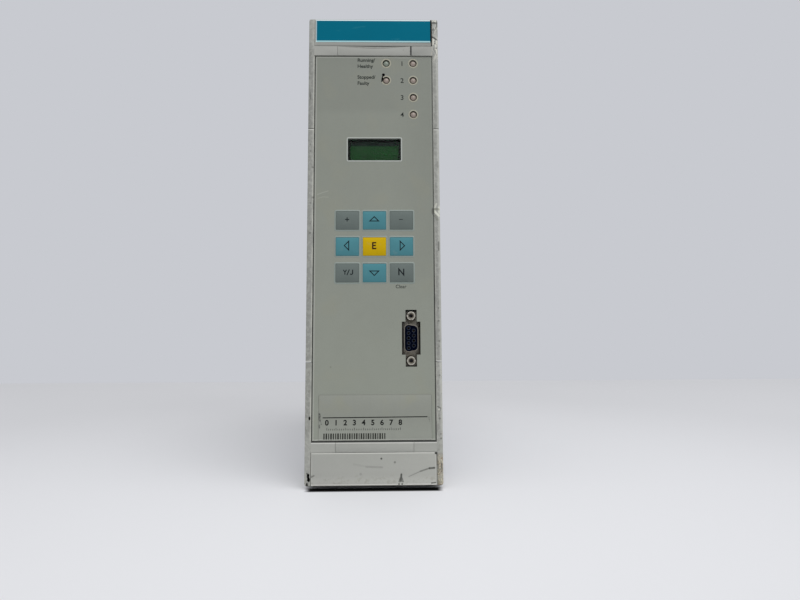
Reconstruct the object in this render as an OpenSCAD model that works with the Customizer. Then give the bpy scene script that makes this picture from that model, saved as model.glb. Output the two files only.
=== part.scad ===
/* [Front frame] */
// Width of the front frame
front_w = 75; // [74:0.5:84]
// Height of the front frame
front_h = 266; // [262:1:290]
// Depth of the front frame, from its face to the mounting panel
front_d = 29.5; // [28:0.5:40]
// Width of each side rail, seen from the front
rail_w = 3.4; // [3:0.1:4]
// Depth of the lip at the front of each rail
lip_d = 3; // [2.8:0.1:3.6]
// Radius of the frame's outer corners
corner_r = 1.6; // [0.8:0.1:3]
// Chamfer along the frame's front edges
edge_chamfer = 0.5; // [0.2:0.05:0.9]
// Height of the fine seams above and below the middle
seam_z = 66.5; // [50:0.5:90]
// Open width of each seam
seam_gap = 0.2; // [0.1:0.05:0.4]
// Thickness of the web behind each band
web_t = 0.9; // [0.6:0.1:1.1]
// Height of the band above the front panel
band_top_h = 5.6; // [4:0.1:8]
// Height of the band below the front panel
band_bottom_h = 6; // [4:0.1:8]

/* [Latch tabs] */
// Width of the tab in the middle of each band
latch_w = 42.8; // [30:0.2:50]
// Depth of the finger scoop in the upper tab
scoop_depth = 1; // [0.5:0.1:1.4]

/* [Snap-on caps] */
// Height of the top cap
cap_top_h = 16.65; // [15:0.05:19]
// Height of the bottom cap
cap_bottom_h = 17.8; // [15:0.1:19]
// Thickness of a cap's front wall
cap_front_t = 1.8; // [1.2:0.1:1.9]
// Thickness of a cap's other walls
cap_wall = 1.2; // [0.8:0.1:1.4]
// Gap between a cap and the pieces round it
cap_gap = 0.2; // [0.15:0.05:0.4]
// Gap between a cap's back edge and the flange
cap_back_gap = 0.3; // [0.2:0.05:0.5]
// Chamfer along a cap's outer front edge
cap_chamfer = 0.5; // [0.2:0.05:0.8]
// Length of a cap's two snap tongues
tongue_l = 11; // [8:0.5:11.5]
// Width of a cap's snap tongues
tongue_w = 6; // [4:0.5:9]
// Distance of each tongue from the middle
tongue_x = 11; // [8:0.5:14]
// Thickness of a snap tongue
tongue_t = 1; // [0.6:0.1:1.4]
// Height of the colour strip in the top cap
strip_h = 13.7; // [10:0.1:14]
// Thickness of the colour strip
strip_t = 0.3; // [0.2:0.05:0.5]
// Plain edge of the cap round the strip
strip_edge = 0.35; // [0.2:0.05:0.8]

/* [Front panel] */
// Step from the frame's face down to the film
film_recess = 0.7; // [0.4:0.1:0.9]
// Thickness of the printed film
film_t = 0.4; // [0.2:0.05:0.5]
// Gap round the front panel
panel_gap = 0.2; // [0.1:0.05:0.4]
// Diameter of the screw bosses behind the panel
boss_d = 6; // [5:0.25:7]
// Distance of the bosses from the panel's side edges
boss_side = 4.9; // [4.4:0.1:6]
// Distance of the outer bosses from the panel's ends
boss_end = 14.8; // [13:0.1:18]
// Height of the middle bosses
boss_mid_z = 26; // [20:0.5:32]
// Sideways place of the display and keypad
layout_x = 0.4; // [-2:0.1:2]

/* [Label field] */
// Gap between the label and the panel's left edge
label_left = 3.6; // [1:0.1:8]
// Gap between the label and the panel's right edge
label_right = 2.1; // [1:0.1:8]
// Gap between the label and the panel's lower edge
label_low = 0.2; // [0.1:0.1:2]
// Height of the label
label_h = 24.5; // [18:0.1:26]
// Thickness of the label
label_t = 0.12; // [0.08:0.01:0.2]

/* [Display] */
// Width of the display window
window_w = 30.2; // [26:0.1:34]
// Height of the display window
window_h = 12.8; // [11:0.1:16]
// Distance from the panel's top edge down to the window's middle
window_top = 56.05; // [50:0.05:60]
// Step from the film down to the window pane
window_recess = 0.4; // [0.2:0.05:0.8]
// Width of the display module
display_w = 39; // [37:0.5:46]
// Height of the display module
display_h = 24; // [19:0.5:26]
// Depth of the viewing pocket in the display module
pocket_d = 0.6; // [0.4:0.1:1]
// Edge of the module that shows above and below the pocket
pocket_edge = 0.6; // [0.3:0.1:1]

/* [Lamps] */
// Diameter of a lamp's dome
lamp_d = 4; // [3:0.1:4.4]
// Diameter of a lamp's hole in the panel
lamp_hole_d = 5.1; // [4.9:0.1:5.6]
// Distance from the panel's right edge to the numbered lamps
lamp_side = 11; // [10:0.1:13.5]
// Sideways step between the two columns of lamps
lamp_columns = 15.6; // [13:0.1:18]
// Distance from the panel's top edge down to the uppermost lamps
lamp_top = 4.35; // [3.8:0.05:7]
// Step from lamp to lamp
lamp_pitch = 10.3; // [9:0.1:11]
// Number of numbered lamps in the right column
lamp_count = 4; // [2:1:5]
// How far a dome stands out of the film
lamp_proud = 0.3; // [0.1:0.1:0.8]

/* [Keys] */
// Width of a key
key_w = 13.4; // [12:0.1:13.8]
// Height of a key
key_h = 10.9; // [9:0.1:11.8]
// Sideways step from key to key
key_pitch_x = 15.2; // [15:0.05:16]
// Upright step from key to key
key_pitch_z = 15; // [14:0.05:16]
// Height of the keypad's middle above the front's middle
keys_z = -2; // [-8:0.5:0]
// Gap between a key and the panel
key_gap = 0.15; // [0.1:0.05:0.3]
// How far a key stands out of the film
key_proud = 0.2; // [0.1:0.05:0.4]
// Travel of a key
key_travel = 0.4; // [0.2:0.05:0.5]
// Width of the rim that keeps a key behind the panel
key_rim = 0.5; // [0.3:0.05:0.6]
// Thickness of that rim
key_rim_t = 0.8; // [0.6:0.1:1.2]
// Diameter of a key's plunger
plunger_d = 3.5; // [2.5:0.1:4]
// Width of a key switch
switch_w = 7; // [6:0.1:9]
// Height of a key switch above its board
switch_h = 3.5; // [3:0.1:4]
// How deep a plunger reaches into its switch at rest
plunger_in = 1; // [0.6:0.1:1.4]

/* [Serial ports] */
// Width of a port's shell, along the row of contacts
port_w = 16.33; // [16:0.01:17]
// Height of a port's shell, across the rows
port_h = 7.9; // [7.5:0.05:8.4]
// Slope of a shell's short sides, in degrees
port_slope = 10; // [8:0.5:12]
// Corner radius of a shell
port_r = 2.5; // [2:0.1:2.8]
// Wall of a shell
port_wall = 0.4; // [0.3:0.05:0.6]
// Length of a port's flange
flange_l = 30.8; // [30.4:0.1:32]
// Width of a port's flange
flange_w = 12.5; // [12:0.1:13]
// Thickness of a port's flange
flange_t = 1; // [0.6:0.1:1.2]
// Distance between the two jack screws of a port
jack_pitch = 24.99; // [24.5:0.01:25.5]
// Width across the flats of a jack screw
jack_af = 4.75; // [4.5:0.05:5]
// Diameter of a jack screw's threaded bore
jack_bore_d = 2.84; // [2.5:0.02:3]
// Height of a jack screw above its flange
jack_h = 4.6; // [4:0.1:5]
// Clearance round a jack screw's tail in flange and plate
jack_hole_gap = 0.3; // [0.2:0.05:0.4]
// Width of the insulator behind a port's flange
port_body_w = 10.7; // [10:0.1:11]
// Length of the insulator behind a port's flange
port_body_l = 19.2; // [18:0.1:20]
// How far a jack screw's tail reaches behind its seat
jack_tail = 3; // [2.5:0.1:4]
// Depth of the rear port's insulator behind its flange
rear_port_d = 8; // [7:0.5:9]
// Pitch of the contacts along a row
contact_pitch = 2.77; // [2.7:0.01:2.8]
// Distance between the two rows of contacts
contact_rows = 2.84; // [2.7:0.01:3]
// Diameter of a contact hole
contact_d = 1.3; // [1:0.05:1.6]
// Distance from the panel's right edge to the front port's middle
port_side = 13.2; // [12.9:0.1:17]
// Height of the front port above the front's middle
port_z = -53.5; // [-60:0.5:-48]
// Width of the middle part of the front port's cut-out
port_cut_w = 10.3; // [9.6:0.1:11]
// Height of the middle part of the front port's cut-out
port_cut_h = 18.3; // [17.8:0.1:19]
// Width of the cut-out's two ends
port_end_w = 6.3; // [6:0.1:7]
// Height of the whole cut-out
port_end_h = 31.5; // [31:0.1:33]
// Distance from the housing's side to the rear port's middle
rear_port_side = 13.5; // [13.2:0.1:16]
// Distance from the housing's top down to the rear port's middle
rear_port_end = 38; // [34:1:60]

/* [Housing] */
// How far each rail stands out beside the housing
rail_out = 2.5; // [2.5:0.05:2.8]
// Height left above and below the housing for the caps
cap_room = 11; // [10:0.1:11.5]
// Depth of the housing behind the mounting panel
body_d = 172; // [168:1:200]
// Thickness of the housing's sheet
sheet_t = 1.2; // [1:0.1:1.4]
// Outer radius of the folded edges
fold_r = 1.8; // [1.5:0.1:3]
// Inner radius of the folded edges
fold_inner_r = 0.6; // [0.3:0.1:1]
// Width of the rear rim on the long sides
rim_w = 5; // [4.5:0.1:5]
// Width of the rear rim at the top and bottom
rim_h = 6; // [5:0.1:7]
// Step from the housing's outline in to the rear plate's edge
plate_inset = 0.5; // [0.2:0.1:0.6]
// Width of a ventilation slot
vent_w = 3; // [2:0.1:3.6]
// Length of a ventilation slot
vent_l = 22; // [16:0.5:24]
// Step from slot to slot
vent_pitch = 8; // [6:0.1:9]
// Number of slots in each row
vent_count = 14; // [8:1:16]
// Distance of the rows' middles from the housing's sides
vent_side = 19.5; // [18:0.5:21]

/* [Fixing flanges] */
// Thickness of a fixing flange
fix_t = 1.5; // [1.2:0.1:2]
// Gap between a flange's side edges and the rails
fix_side_gap = 1.1; // [0.6:0.1:2]
// Gap between a flange's outer edge and the frame's end
fix_end_gap = 0.4; // [0.2:0.1:0.6]
// Depth of a flange's leg along the housing
fix_leg = 13.5; // [12:0.5:13.5]
// Distance of a fixing slot's middle from the flange's side edge
slot_side = 4.85; // [4.2:0.05:6]
// Distance of a fixing slot's middle from the frame's end
slot_end = 5.1; // [4.7:0.05:5.5]
// Width of a fixing slot
slot_w = 4.8; // [4.3:0.1:5]
// Length of a fixing slot
slot_l = 6.8; // [6:0.1:7.6]

/* [Screws] */
// Diameter of the housing screws
screw_d = 3; // [2.5:0.1:3.2]
// Diameter of their heads
head_d = 5.4; // [4.6:0.1:5.6]
// Height of their heads
head_h = 1.9; // [1.4:0.1:2]
// How far a housing screw reaches past what it holds
screw_past = 1.5; // [1:0.1:3]
// How deep a board screw bites into its boss
boss_bite = 5; // [4:0.1:6]
// Clearance round a screw in a plain hole
hole_gap = 0.15; // [0.1:0.05:0.25]
// Sideways place of the flange screws
fix_screw_x = 20; // [19:0.5:21]
// Distance of the outer rear plate screws from the housing's top and bottom
rear_screw_end = 16; // [12:1:22]

/* [Boards] */
// Thickness of the circuit boards
board_t = 1.6; // [1.2:0.1:2]
// Distance from the front panel back to the operator board
standoff = 8; // [7.9:0.1:9]
// Gap between the operator board and the housing's sides
op_side_gap = 1.8; // [0.8:0.1:2.5]
// Gap between the operator board and the housing's top
op_top_gap = 11.3; // [8:0.1:11.8]
// Gap between the operator board and the housing's bottom
op_bottom_gap = 13.8; // [10:0.1:16]
// Gap between the processor board and the housing's left side
cpu_gap = 8.2; // [7:0.1:9]
// Sideways place of the input and output board's left face
io_x = -1.6; // [-3:0.1:-1]
// Front edge of the two upright boards
board_y0 = 4; // [2:0.5:8]
// Room behind the upright boards for the terminals' necks
neck_room = 13; // [12:0.5:16]
// Height of the card guides
guide_h = 5; // [4:0.1:6]
// Width of the card guides
guide_w = 6; // [5:0.1:8]
// Depth of the groove in a card guide
groove_d = 3; // [2:0.1:3.5]
// Clearance round a board in its groove
groove_gap = 0.15; // [0.1:0.05:0.25]

/* [Board parts] */
// Distance of the processor board's parts from its front edge
cpu_part_l = 58; // [44:1:90]
// Height of the processor's middle above the middle
processor_z = 52; // [44:1:90]
// Depth of the battery's middle below the middle
battery_low = 40; // [34:1:44]
// Distance of the supply's parts from the board's front edge
supply_gap = 12; // [6:0.5:20]
// Distance of relays and transformers from the boards' rear edge
rear_part_gap = 16; // [8:0.5:24]
// Gap between the outer parts and the card guides
part_end_gap = 4; // [2:0.5:5]
// Gap between neighbouring parts of a row
part_gap = 3; // [2:0.5:4]
// Edge length of the processor
cpu_w = 28; // [20:0.5:32]
// Height of the processor
cpu_h = 3.6; // [2.5:0.1:5]
// Length of a memory chip
memory_l = 36; // [28:0.5:40]
// Width of a memory chip
memory_w = 13.5; // [10:0.5:15]
// Height of a memory chip
memory_h = 4; // [3:0.1:5]
// Gap between the two memory chips
memory_gap = 6.5; // [3:0.5:8]
// Diameter of the battery
battery_d = 14.4; // [12:0.1:15]
// Length of the battery
battery_l = 25; // [22:0.5:28]
// Wall of the battery holder
holder_t = 2; // [1.5:0.1:2.5]
// Length of the power transformer's core
power_l = 42; // [36:0.5:46]
// Height of the power transformer's core, up the board
power_w = 34; // [30:0.5:38]
// How far the power transformer stands off its board
power_h = 28; // [24:0.5:30]
// Diameter of a storage capacitor
capacitor_d = 16; // [12:0.5:18]
// Height of a storage capacitor
capacitor_h = 27; // [20:0.5:30]
// Number of storage capacitors
capacitor_count = 3; // [2:1:3]
// Length of an output relay
relay_l = 29; // [26:0.5:30]
// Width of an output relay
relay_w = 12.7; // [10:0.1:14]
// Height of an output relay
relay_h = 15.7; // [12:0.1:25]
// Number of output relays
relay_count = 5; // [3:1:5]
// Length of a measuring transformer
ct_l = 32; // [28:0.5:36]
// Width of a measuring transformer, up the board
ct_w = 25; // [20:0.5:26]
// How far a measuring transformer stands off its board
ct_h = 27; // [22:0.5:30]
// Number of measuring transformers
ct_count = 4; // [3:1:4]
// Number of optocouplers
opto_count = 5; // [3:1:6]
// Length of an optocoupler
opto_l = 9; // [7:0.5:10]
// Width of an optocoupler
opto_w = 6.5; // [6:0.1:7]
// Height of an optocoupler
opto_h = 3.6; // [3:0.1:4.5]
// Width of the ribbon cable
ribbon_w = 34; // [24:1:40]
// How far a ribbon plug stands past the ribbon's edges
ribbon_plug_past = 3; // [1:0.5:4]
// Thickness of the ribbon cable
ribbon_t = 0.9; // [0.7:0.1:1.2]
// Depth of a ribbon plug
ribbon_plug_h = 5; // [4:0.5:6]
// Width of a ribbon plug
ribbon_plug_w = 7; // [6:0.5:8]
// Height of the ribbon's middle above the lower card guides
ribbon_up = 47.8; // [42:0.2:60]
// Distance of the ribbon's far plug from the processor board's front edge
ribbon_in = 22; // [16:0.5:26]

/* [Terminal blocks] */
// Distance from the housing's left side to the terminal blocks
block_side = 7.5; // [7:0.1:8]
// Distance from the housing's top down to the upper block
upper_end = 13; // [10:0.5:15]
// Distance from the housing's bottom up to the current block
current_end = 18; // [15:0.5:20]
// Smallest gap between neighbouring blocks
block_gap = 6; // [4:0.5:7]
// Width of a terminal block
block_w = 36; // [34:0.5:37]
// Width of a block's neck inside the housing
neck_w = 25; // [20:0.5:25.2]
// Gap round a neck in the rear plate
neck_gap = 0.2; // [0.1:0.05:0.4]
// Gap between a neck and the boards
neck_end_gap = 0.3; // [0.2:0.05:0.5]
// Depth of the current block behind the rear plate
current_d = 34; // [30:0.5:38]
// Step from row to row in the current block
current_pitch = 20.5; // [19:0.1:21]
// Number of rows in the current block
current_rows = 4; // [2:1:4]
// Wall round the compartments of the current block
current_wall = 2; // [1.6:0.1:2.4]
// Depth of a compartment
current_pit = 20; // [16:0.5:24]
// Width of the wire entry in a compartment's side
wire_w = 7; // [5:0.5:9]
// Diameter of a current terminal's screw
current_screw_d = 4; // [3.5:0.1:5]
// Diameter of a current terminal's screw head
current_head_d = 8; // [7:0.1:9]
// Height of a current terminal's screw head
current_head_h = 2.8; // [2:0.1:3.2]
// Edge length of a current terminal's plate
current_plate = 12; // [10:0.5:13]
// Thickness of a current terminal's plate
current_plate_t = 1.5; // [1:0.1:2]
// How deep a current terminal's screw bites into the block
current_bite = 6; // [4:0.5:8]
// Height of a wire entry's lower edge above its compartment's floor
wire_sill = 6; // [4.5:0.5:8]
// Depth of a twelve-pole block behind the rear plate
pole_d = 26; // [22:0.5:30]
// Half width of a twelve-pole block's flat back
pole_flat = 11; // [10:0.5:12]
// Depth at which a twelve-pole block's slopes begin
pole_shoulder = 12; // [8:0.5:14]
// Step from pole to pole
pole_pitch = 9; // [8:0.1:9.6]
// Sideways place of the screw wells from a block's middle
pole_screw_x = 6; // [5:0.1:7]
// Diameter of a screw well
well_d = 3.8; // [3.4:0.1:3.9]
// Depth of a screw well
well_l = 10; // [8:0.5:12]
// Diameter of a wire hole
wire_d = 3.6; // [3:0.1:3.9]
// How far a wire hole ends short of its well's middle
wire_short = 1.5; // [1:0.1:1.8]
// How deep a pole screw's head lies in its well
well_sink = 4; // [3:0.1:6]
// Solid end above and below the poles of a block
pole_end = 2; // [1.5:0.1:3]

/* [Earth stud] */
// Diameter of the earth stud
stud_d = 4; // [3.5:0.1:5]
// Length of the stud's free end
stud_free = 10; // [8:0.5:14]
// Distance from the housing's side to the earth stud
stud_side = 14; // [12.5:0.5:16]
// Distance from the housing's bottom up to the earth stud
stud_end = 18; // [16:0.5:24]
// Width across the flats of its nut
nut_af = 7; // [6:0.1:8]
// Height of its nut
nut_h = 3.2; // [2.4:0.1:4]

/* [Hidden] */
$fn = 48;

half_w = front_w / 2;
half_h = front_h / 2;
inner_x = half_w - rail_w;
face_y = -front_d;
// The housing's front edge stands behind the rails' lips.
body_front_y = face_y + lip_d;
body_half_w = half_w - rail_out;
body_half_h = half_h - cap_room;
body_w = 2 * body_half_w;
body_h = 2 * body_half_h;
inside_x = body_half_w - sheet_t;
inside_z = body_half_h - sheet_t;
band_top_z = half_h - cap_top_h;
band_bottom_z = half_h - cap_bottom_h;
panel_top = band_top_z - band_top_h - panel_gap;
panel_bottom = -(band_bottom_z - band_bottom_h - panel_gap);
panel_half_w = inner_x - panel_gap;
film_y = face_y + film_recess;
panel_y = film_y + film_t;
panel_back = body_front_y;
op_board_y = panel_back + standoff;
op_board_back = op_board_y + board_t;
latch_gap = 0.15;
latch_back = body_front_y - web_t;
label_w = 2 * panel_half_w - label_left - label_right;
label_x = (label_left - label_right) / 2;
label_z = panel_bottom + label_low + label_h / 2;
window_z = panel_top - window_top;
lamp_x = panel_half_w - lamp_side;
lamp_left_x = lamp_x - lamp_columns;
lamp_z = panel_top - lamp_top;
port_x = panel_half_w - port_side;

key_rest_gap = 0.1;
key_face_y = film_y - key_proud;
// The rim behind the panel leaves the key free to travel.
key_rim_y = panel_back + key_rest_gap;
switch_y = op_board_y - switch_h;
switch_hole_gap = 0.15;
key_x = [layout_x - key_pitch_x, layout_x, layout_x + key_pitch_x];
key_z = [keys_z + key_pitch_z, keys_z, keys_z - key_pitch_z];

lamp_flange_d = lamp_d + 0.8;
lamp_flange_t = 1;
lamp_rows = [for (i = [0:lamp_count - 1]) [lamp_x, lamp_z - i * lamp_pitch]];
status_lamps = concat(lamp_rows, [[lamp_left_x, lamp_z - lamp_pitch]]);
service_lamps = [[lamp_left_x, lamp_z]];
lamp_base_y = panel_back + 5;

boss_x = panel_half_w - boss_side;
boss_rows = [panel_bottom + boss_end, boss_mid_z, panel_top - boss_end];
boss_places = [for (sx = [-1, 1], z = boss_rows) [sx * boss_x, z]];
board_screw_d = 2.2;
board_head_d = 4.4;
board_head_h = 1.8;

port_flange_y = op_board_y - 4.5;
port_shell_out = 5.7;
plate_y = body_d;
plate_back = body_d + sheet_t;
rear_screw_x = inside_x - rim_w / 2;
rear_screw_z = body_half_h - rear_screw_end;
rear_screws = [for (sx = [-1, 1], z = [-rear_screw_z, 0, rear_screw_z]) [sx * rear_screw_x, z]];
rear_port_x = body_half_w - rear_port_side;
rear_port_z = body_half_h - rear_port_end;
vent_x = body_half_w - vent_side;

op_board_half_w = inside_x - op_side_gap;
op_board_top = inside_z - op_top_gap;
op_board_bottom = op_bottom_gap - inside_z;
board_y1 = body_d - neck_room;
guide_z = inside_z - guide_h;
board_half_h = guide_z + groove_d - groove_gap;
neck_y = board_y1 + neck_end_gap;
cpu_x = cpu_gap - inside_x;
cpu_face = cpu_x + board_t;
io_face = io_x + board_t;
// Parts on the processor board: one column from the processor down to the battery.
cpu_part_y = board_y0 + cpu_part_l;
memory_top = processor_z - cpu_w / 2 - 2 * memory_gap - memory_w / 2;
memory_z = [memory_top, memory_top - memory_w - memory_gap];
battery_z = -battery_low;
// Parts on the other board: supply in front below, inputs above it, the rest behind.
power_y = board_y0 + power_l / 2 + supply_gap;
power_z = power_w / 2 + part_end_gap - guide_z;
capacitor_y = board_y0 + capacitor_d / 2 + supply_gap;
capacitor_z = power_z + power_w / 2 + part_gap + capacitor_d / 2;
relay_y = board_y1 - relay_l / 2 - rear_part_gap;
relay_z = guide_z - part_end_gap - relay_w / 2;
ct_y = board_y1 - ct_l / 2 - rear_part_gap;
opto_y = (power_y + power_l / 2 + relay_y - relay_l / 2) / 2;
opto_z = guide_z - part_end_gap - opto_w / 2;
ct_z = ct_w / 2 + part_end_gap - guide_z;

current_h = current_rows * current_pitch;
current_z = current_end - body_half_h + (current_h + current_wall) / 2;
current_cell_w = (block_w - 3 * current_wall) / 2;
current_cell_h = current_pitch - current_wall;
// The two blocks above the current block have as many rows as the height allows.
block_room = body_half_h - upper_end - (current_z + (current_h + current_wall) / 2) - 2 * block_gap;
pole_rows = floor((block_room / 2 - 2 * pole_end) / pole_pitch);
pole_h = pole_rows * pole_pitch + 2 * pole_end;
upper_z = body_half_h - upper_end - pole_h / 2;
lower_z = upper_z - pole_h - block_gap;
block_x = block_side + block_w / 2 - body_half_w;
// A neck stays this far inside its block's ends.
neck_step = 4;
fix_half_w = inner_x - fix_side_gap;
fix_h = cap_room - fix_end_gap;
fix_slot_x = fix_half_w - slot_side;
fix_slot_z = half_h - slot_end;
fix_screw_y = -fix_t - (fix_leg - fix_t) / 2;
// The flange's leg lies between the side walls of the cap.
fix_leg_half = inner_x - cap_wall - 2 * cap_gap;
// Pieces that only rest on each other keep this hair's breadth.
hair = 0.03;
vent_y0 = 26;
key_corner = 0.5;
// The rear port's flange lies against the inner face of the rear plate.
rear_flange_y = plate_y - flange_t;
rear_cut_gap = 0.4;
stud_x = body_half_w - stud_side;
stud_z = stud_end - body_half_h;
// Under its nut the stud's thread is drawn at its core.
stud_core_d = stud_d * 0.85;
washer_t = 1;
ribbon_start = [-10, op_board_back];
ribbon_end = [cpu_face + ribbon_plug_w / 2, board_y0 + ribbon_in];
ribbon_z = ribbon_up - guide_z;

function arc(cx, cy, r, a0, a1, n = 6) =
    [for (i = [0:n]) let (a = a0 + (a1 - a0) * i / n) [cx + r * cos(a), cy + r * sin(a)]];

// Outline of a D-shaped shell with its wide side up: four corner arcs joined by straight sides.
function d_outline(w, h, r, slope) =
    let (
        up = w / 2 - r * (1 + sin(slope)) / cos(slope),
        low = w / 2 - (r + (h - r) * sin(slope)) / cos(slope)
    )
    concat(
        arc(up, h / 2 - r, r, 90, -slope),
        arc(low, r - h / 2, r, -slope, -90),
        arc(-low, r - h / 2, r, -90, slope - 180),
        arc(-up, h / 2 - r, r, slope - 180, -270)
    );

// The same outline standing on end, its wide side to the left.
function upright_d(w, h, r, slope) = [for (p = d_outline(w, h, r, slope)) [-p[1], p[0]]];

module block(x0, x1, y0, y1, z0, z1) {
    translate([x0, y0, z0]) cube([x1 - x0, y1 - y0, z1 - z0]);
}

// A flat shape in the X-Z plane, given depth from y0 to y1.
module upright(y0, y1) {
    translate([0, y1, 0]) rotate([90, 0, 0]) linear_extrude(y1 - y0) children();
}

// A flat shape in the Y-Z plane, given width from x0 to x1.
module sideways(x0, x1) {
    translate([x0, 0, 0]) rotate([90, 0, 90]) linear_extrude(x1 - x0) children();
}

// A round rod along Y.
module rod(r, y0, y1) {
    translate([0, y0, 0]) rotate([-90, 0, 0]) cylinder(h = y1 - y0, r = r);
}

module rounded(w, h, r) {
    square([w - 2 * r, h], center = true);
    square([w, h - 2 * r], center = true);
    for (sx = [-1, 1], sy = [-1, 1])
        translate([sx * (w / 2 - r), sy * (h / 2 - r)]) circle(r);
}

module hexagon(af) {
    circle(r = af / sqrt(3), $fn = 6);
}

// A pan-head screw with its head up, the underside of the head at height 0.
module pan_screw(d, head, head_t, l) {
    crown = head_t * 0.35;
    difference() {
        union() {
            translate([0, 0, -l]) cylinder(h = l, r = d / 2);
            cylinder(h = head_t - crown, r = head / 2);
            translate([0, 0, head_t - crown])
                cylinder(h = crown, r1 = head / 2, r2 = head / 2 - crown, $fn = 32);
        }
        for (a = [0, 90]) rotate(a)
            translate([-head * 0.28, -head * 0.06, head_t * 0.45]) cube([head * 0.56, head * 0.12, head_t]);
    }
}

// The frame's solid rails between two heights, hollowed for the housing.
module rails(z0, z1, sides = [-1, 1]) {
    inner_chamfer = edge_chamfer * 0.7;
    difference() {
        for (s = sides) intersection() {
            mirror([s < 0 ? 1 : 0, 0, 0]) translate([0, 0, z0]) linear_extrude(z1 - z0) polygon([
                [inner_x, face_y + inner_chamfer], [inner_x + inner_chamfer, face_y],
                [half_w - edge_chamfer, face_y], [half_w, face_y + edge_chamfer],
                [half_w, 0], [inner_x, 0]
            ]);
            upright(face_y, 0) rounded(front_w, front_h, corner_r);
            sideways(-half_w, half_w) polygon([
                [face_y, edge_chamfer - half_h], [face_y + edge_chamfer, -half_h], [0, -half_h],
                [0, half_h], [face_y + edge_chamfer, half_h], [face_y, half_h - edge_chamfer]
            ]);
        }
        block(-body_half_w, body_half_w, body_front_y, 1, -body_half_h, body_half_h);
    }
}

// One end of the front frame, drawn as the upper one.
module frame_end(band_z, band_h) {
    difference() {
        union() {
            rails(seam_z + seam_gap / 2, half_h);
            block(-inner_x - 0.5, inner_x + 0.5, face_y, body_front_y, band_z - band_h, band_z);
            block(-inner_x - 0.5, inner_x + 0.5, latch_back, body_front_y, band_z - 1, body_half_h);
        }
        block(layout_x - latch_w / 2, layout_x + latch_w / 2, face_y - 1, latch_back,
              band_z - band_h - 1, band_z + 1);
    }
}

module frame_top() {
    color([0.70, 0.71, 0.68]) frame_end(band_top_z, band_top_h);
}

module frame_bottom() {
    color([0.70, 0.71, 0.68]) mirror([0, 0, 1]) frame_end(band_bottom_z, band_bottom_h);
}

module side_strip(side) {
    color([0.70, 0.71, 0.68]) rails(-seam_z + seam_gap / 2, seam_z - seam_gap / 2, [side]);
}

// A tab between the two halves of a band. A drum of large radius, laid along the
// tab's upper front edge, takes out the finger scoop.
module latch(band_z, band_h, scoop) {
    half = latch_w / 2 - latch_gap;
    scoop_r = half * half / (2 * scoop_depth);
    color([0.70, 0.71, 0.68]) difference() {
        block(layout_x - half, layout_x + half, face_y, latch_back, band_z - band_h, band_z);
        if (scoop)
            translate([layout_x, face_y, band_z]) rotate([45, 0, 0])
                rotate([-90, 0, 0]) translate([0, scoop_depth - scoop_r, 0])
                    cylinder(h = 4 * band_h, r = scoop_r, center = true, $fn = 180);
    }
}

module snap_cap(band_z, chamfer, strip) {
    side = inner_x - cap_gap;
    back = -fix_t - cap_back_gap;
    low = band_z + cap_gap;
    roof = half_h - cap_wall;
    shelf = body_half_h + cap_back_gap;
    difference() {
        union() {
            sideways(-side, side) polygon([
                [face_y, low], [face_y, half_h - chamfer], [face_y + chamfer, half_h],
                [back, half_h], [back, roof], [face_y + cap_front_t, roof], [face_y + cap_front_t, low]
            ]);
            for (s = [-1, 1]) {
                block(s > 0 ? side - cap_wall : -side, s > 0 ? side : cap_wall - side,
                      face_y + cap_front_t - 0.5, back, shelf, roof + 0.5);
                block(s > 0 ? tongue_x : -tongue_x - tongue_w, s > 0 ? tongue_x + tongue_w : -tongue_x,
                      face_y + cap_front_t - 0.5, face_y + cap_front_t + tongue_l,
                      shelf, shelf + tongue_t);
            }
        }
        if (strip)
            upright(face_y - 1, face_y + strip_t) translate([0, half_h - cap_chamfer - strip_h / 2])
                square([2 * (side - strip_edge), strip_h], center = true);
    }
}

module top_cap() {
    color([0.70, 0.71, 0.68]) snap_cap(band_top_z, cap_chamfer, true);
}

module bottom_cap() {
    color([0.73, 0.74, 0.71]) mirror([0, 0, 1]) snap_cap(band_bottom_z, cap_chamfer, false);
}

module colour_strip() {
    side = inner_x - cap_gap - strip_edge - 0.05;
    color([0.0, 0.42, 0.50]) upright(face_y, face_y + strip_t)
        translate([0, half_h - cap_chamfer - strip_h / 2]) square([2 * side, strip_h - 0.1], center = true);
}

// Everything that is cut through both the film and the panel.
module face_cuts(gap) {
    for (x = key_x, z = key_z)
        translate([x, z]) square([key_w + 2 * key_gap, key_h + 2 * key_gap], center = true);
    for (p = concat(status_lamps, service_lamps)) translate(p) circle(lamp_hole_d / 2);
    translate([layout_x, window_z]) square([window_w + gap, window_h + gap], center = true);
    translate([port_x, port_z]) {
        square([port_cut_w, port_cut_h], center = true);
        square([port_end_w, port_end_h], center = true);
    }
}

module panel_outline() {
    translate([0, (panel_top + panel_bottom) / 2])
        square([2 * panel_half_w, panel_top - panel_bottom], center = true);
}

module front_panel() {
    pilot = board_screw_d / 2 + 0.05;
    color([0.55, 0.57, 0.55]) difference() {
        union() {
            upright(panel_y, panel_back) difference() {
                panel_outline();
                face_cuts(0.2);
            }
            for (p = boss_places) translate([p[0], 0, p[1]])
                rod(boss_d / 2, panel_back - 0.5, op_board_y);
        }
        for (p = boss_places) translate([p[0], 0, p[1]]) rod(pilot, panel_back + 1, op_board_y + 1);
    }
}

module front_foil() {
    color([0.53, 0.55, 0.52]) upright(film_y, panel_y) difference() {
        panel_outline();
        face_cuts(0.2);
    }
}

module label_plate() {
    color([0.56, 0.58, 0.55]) upright(film_y - label_t, film_y)
        translate([label_x, label_z]) rounded(label_w, label_h, 0.8);
}

module display_window() {
    color([0.25, 0.35, 0.25, 0.5]) upright(film_y + window_recess, panel_back)
        translate([layout_x, window_z]) rounded(window_w, window_h, 0.3);
}

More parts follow.
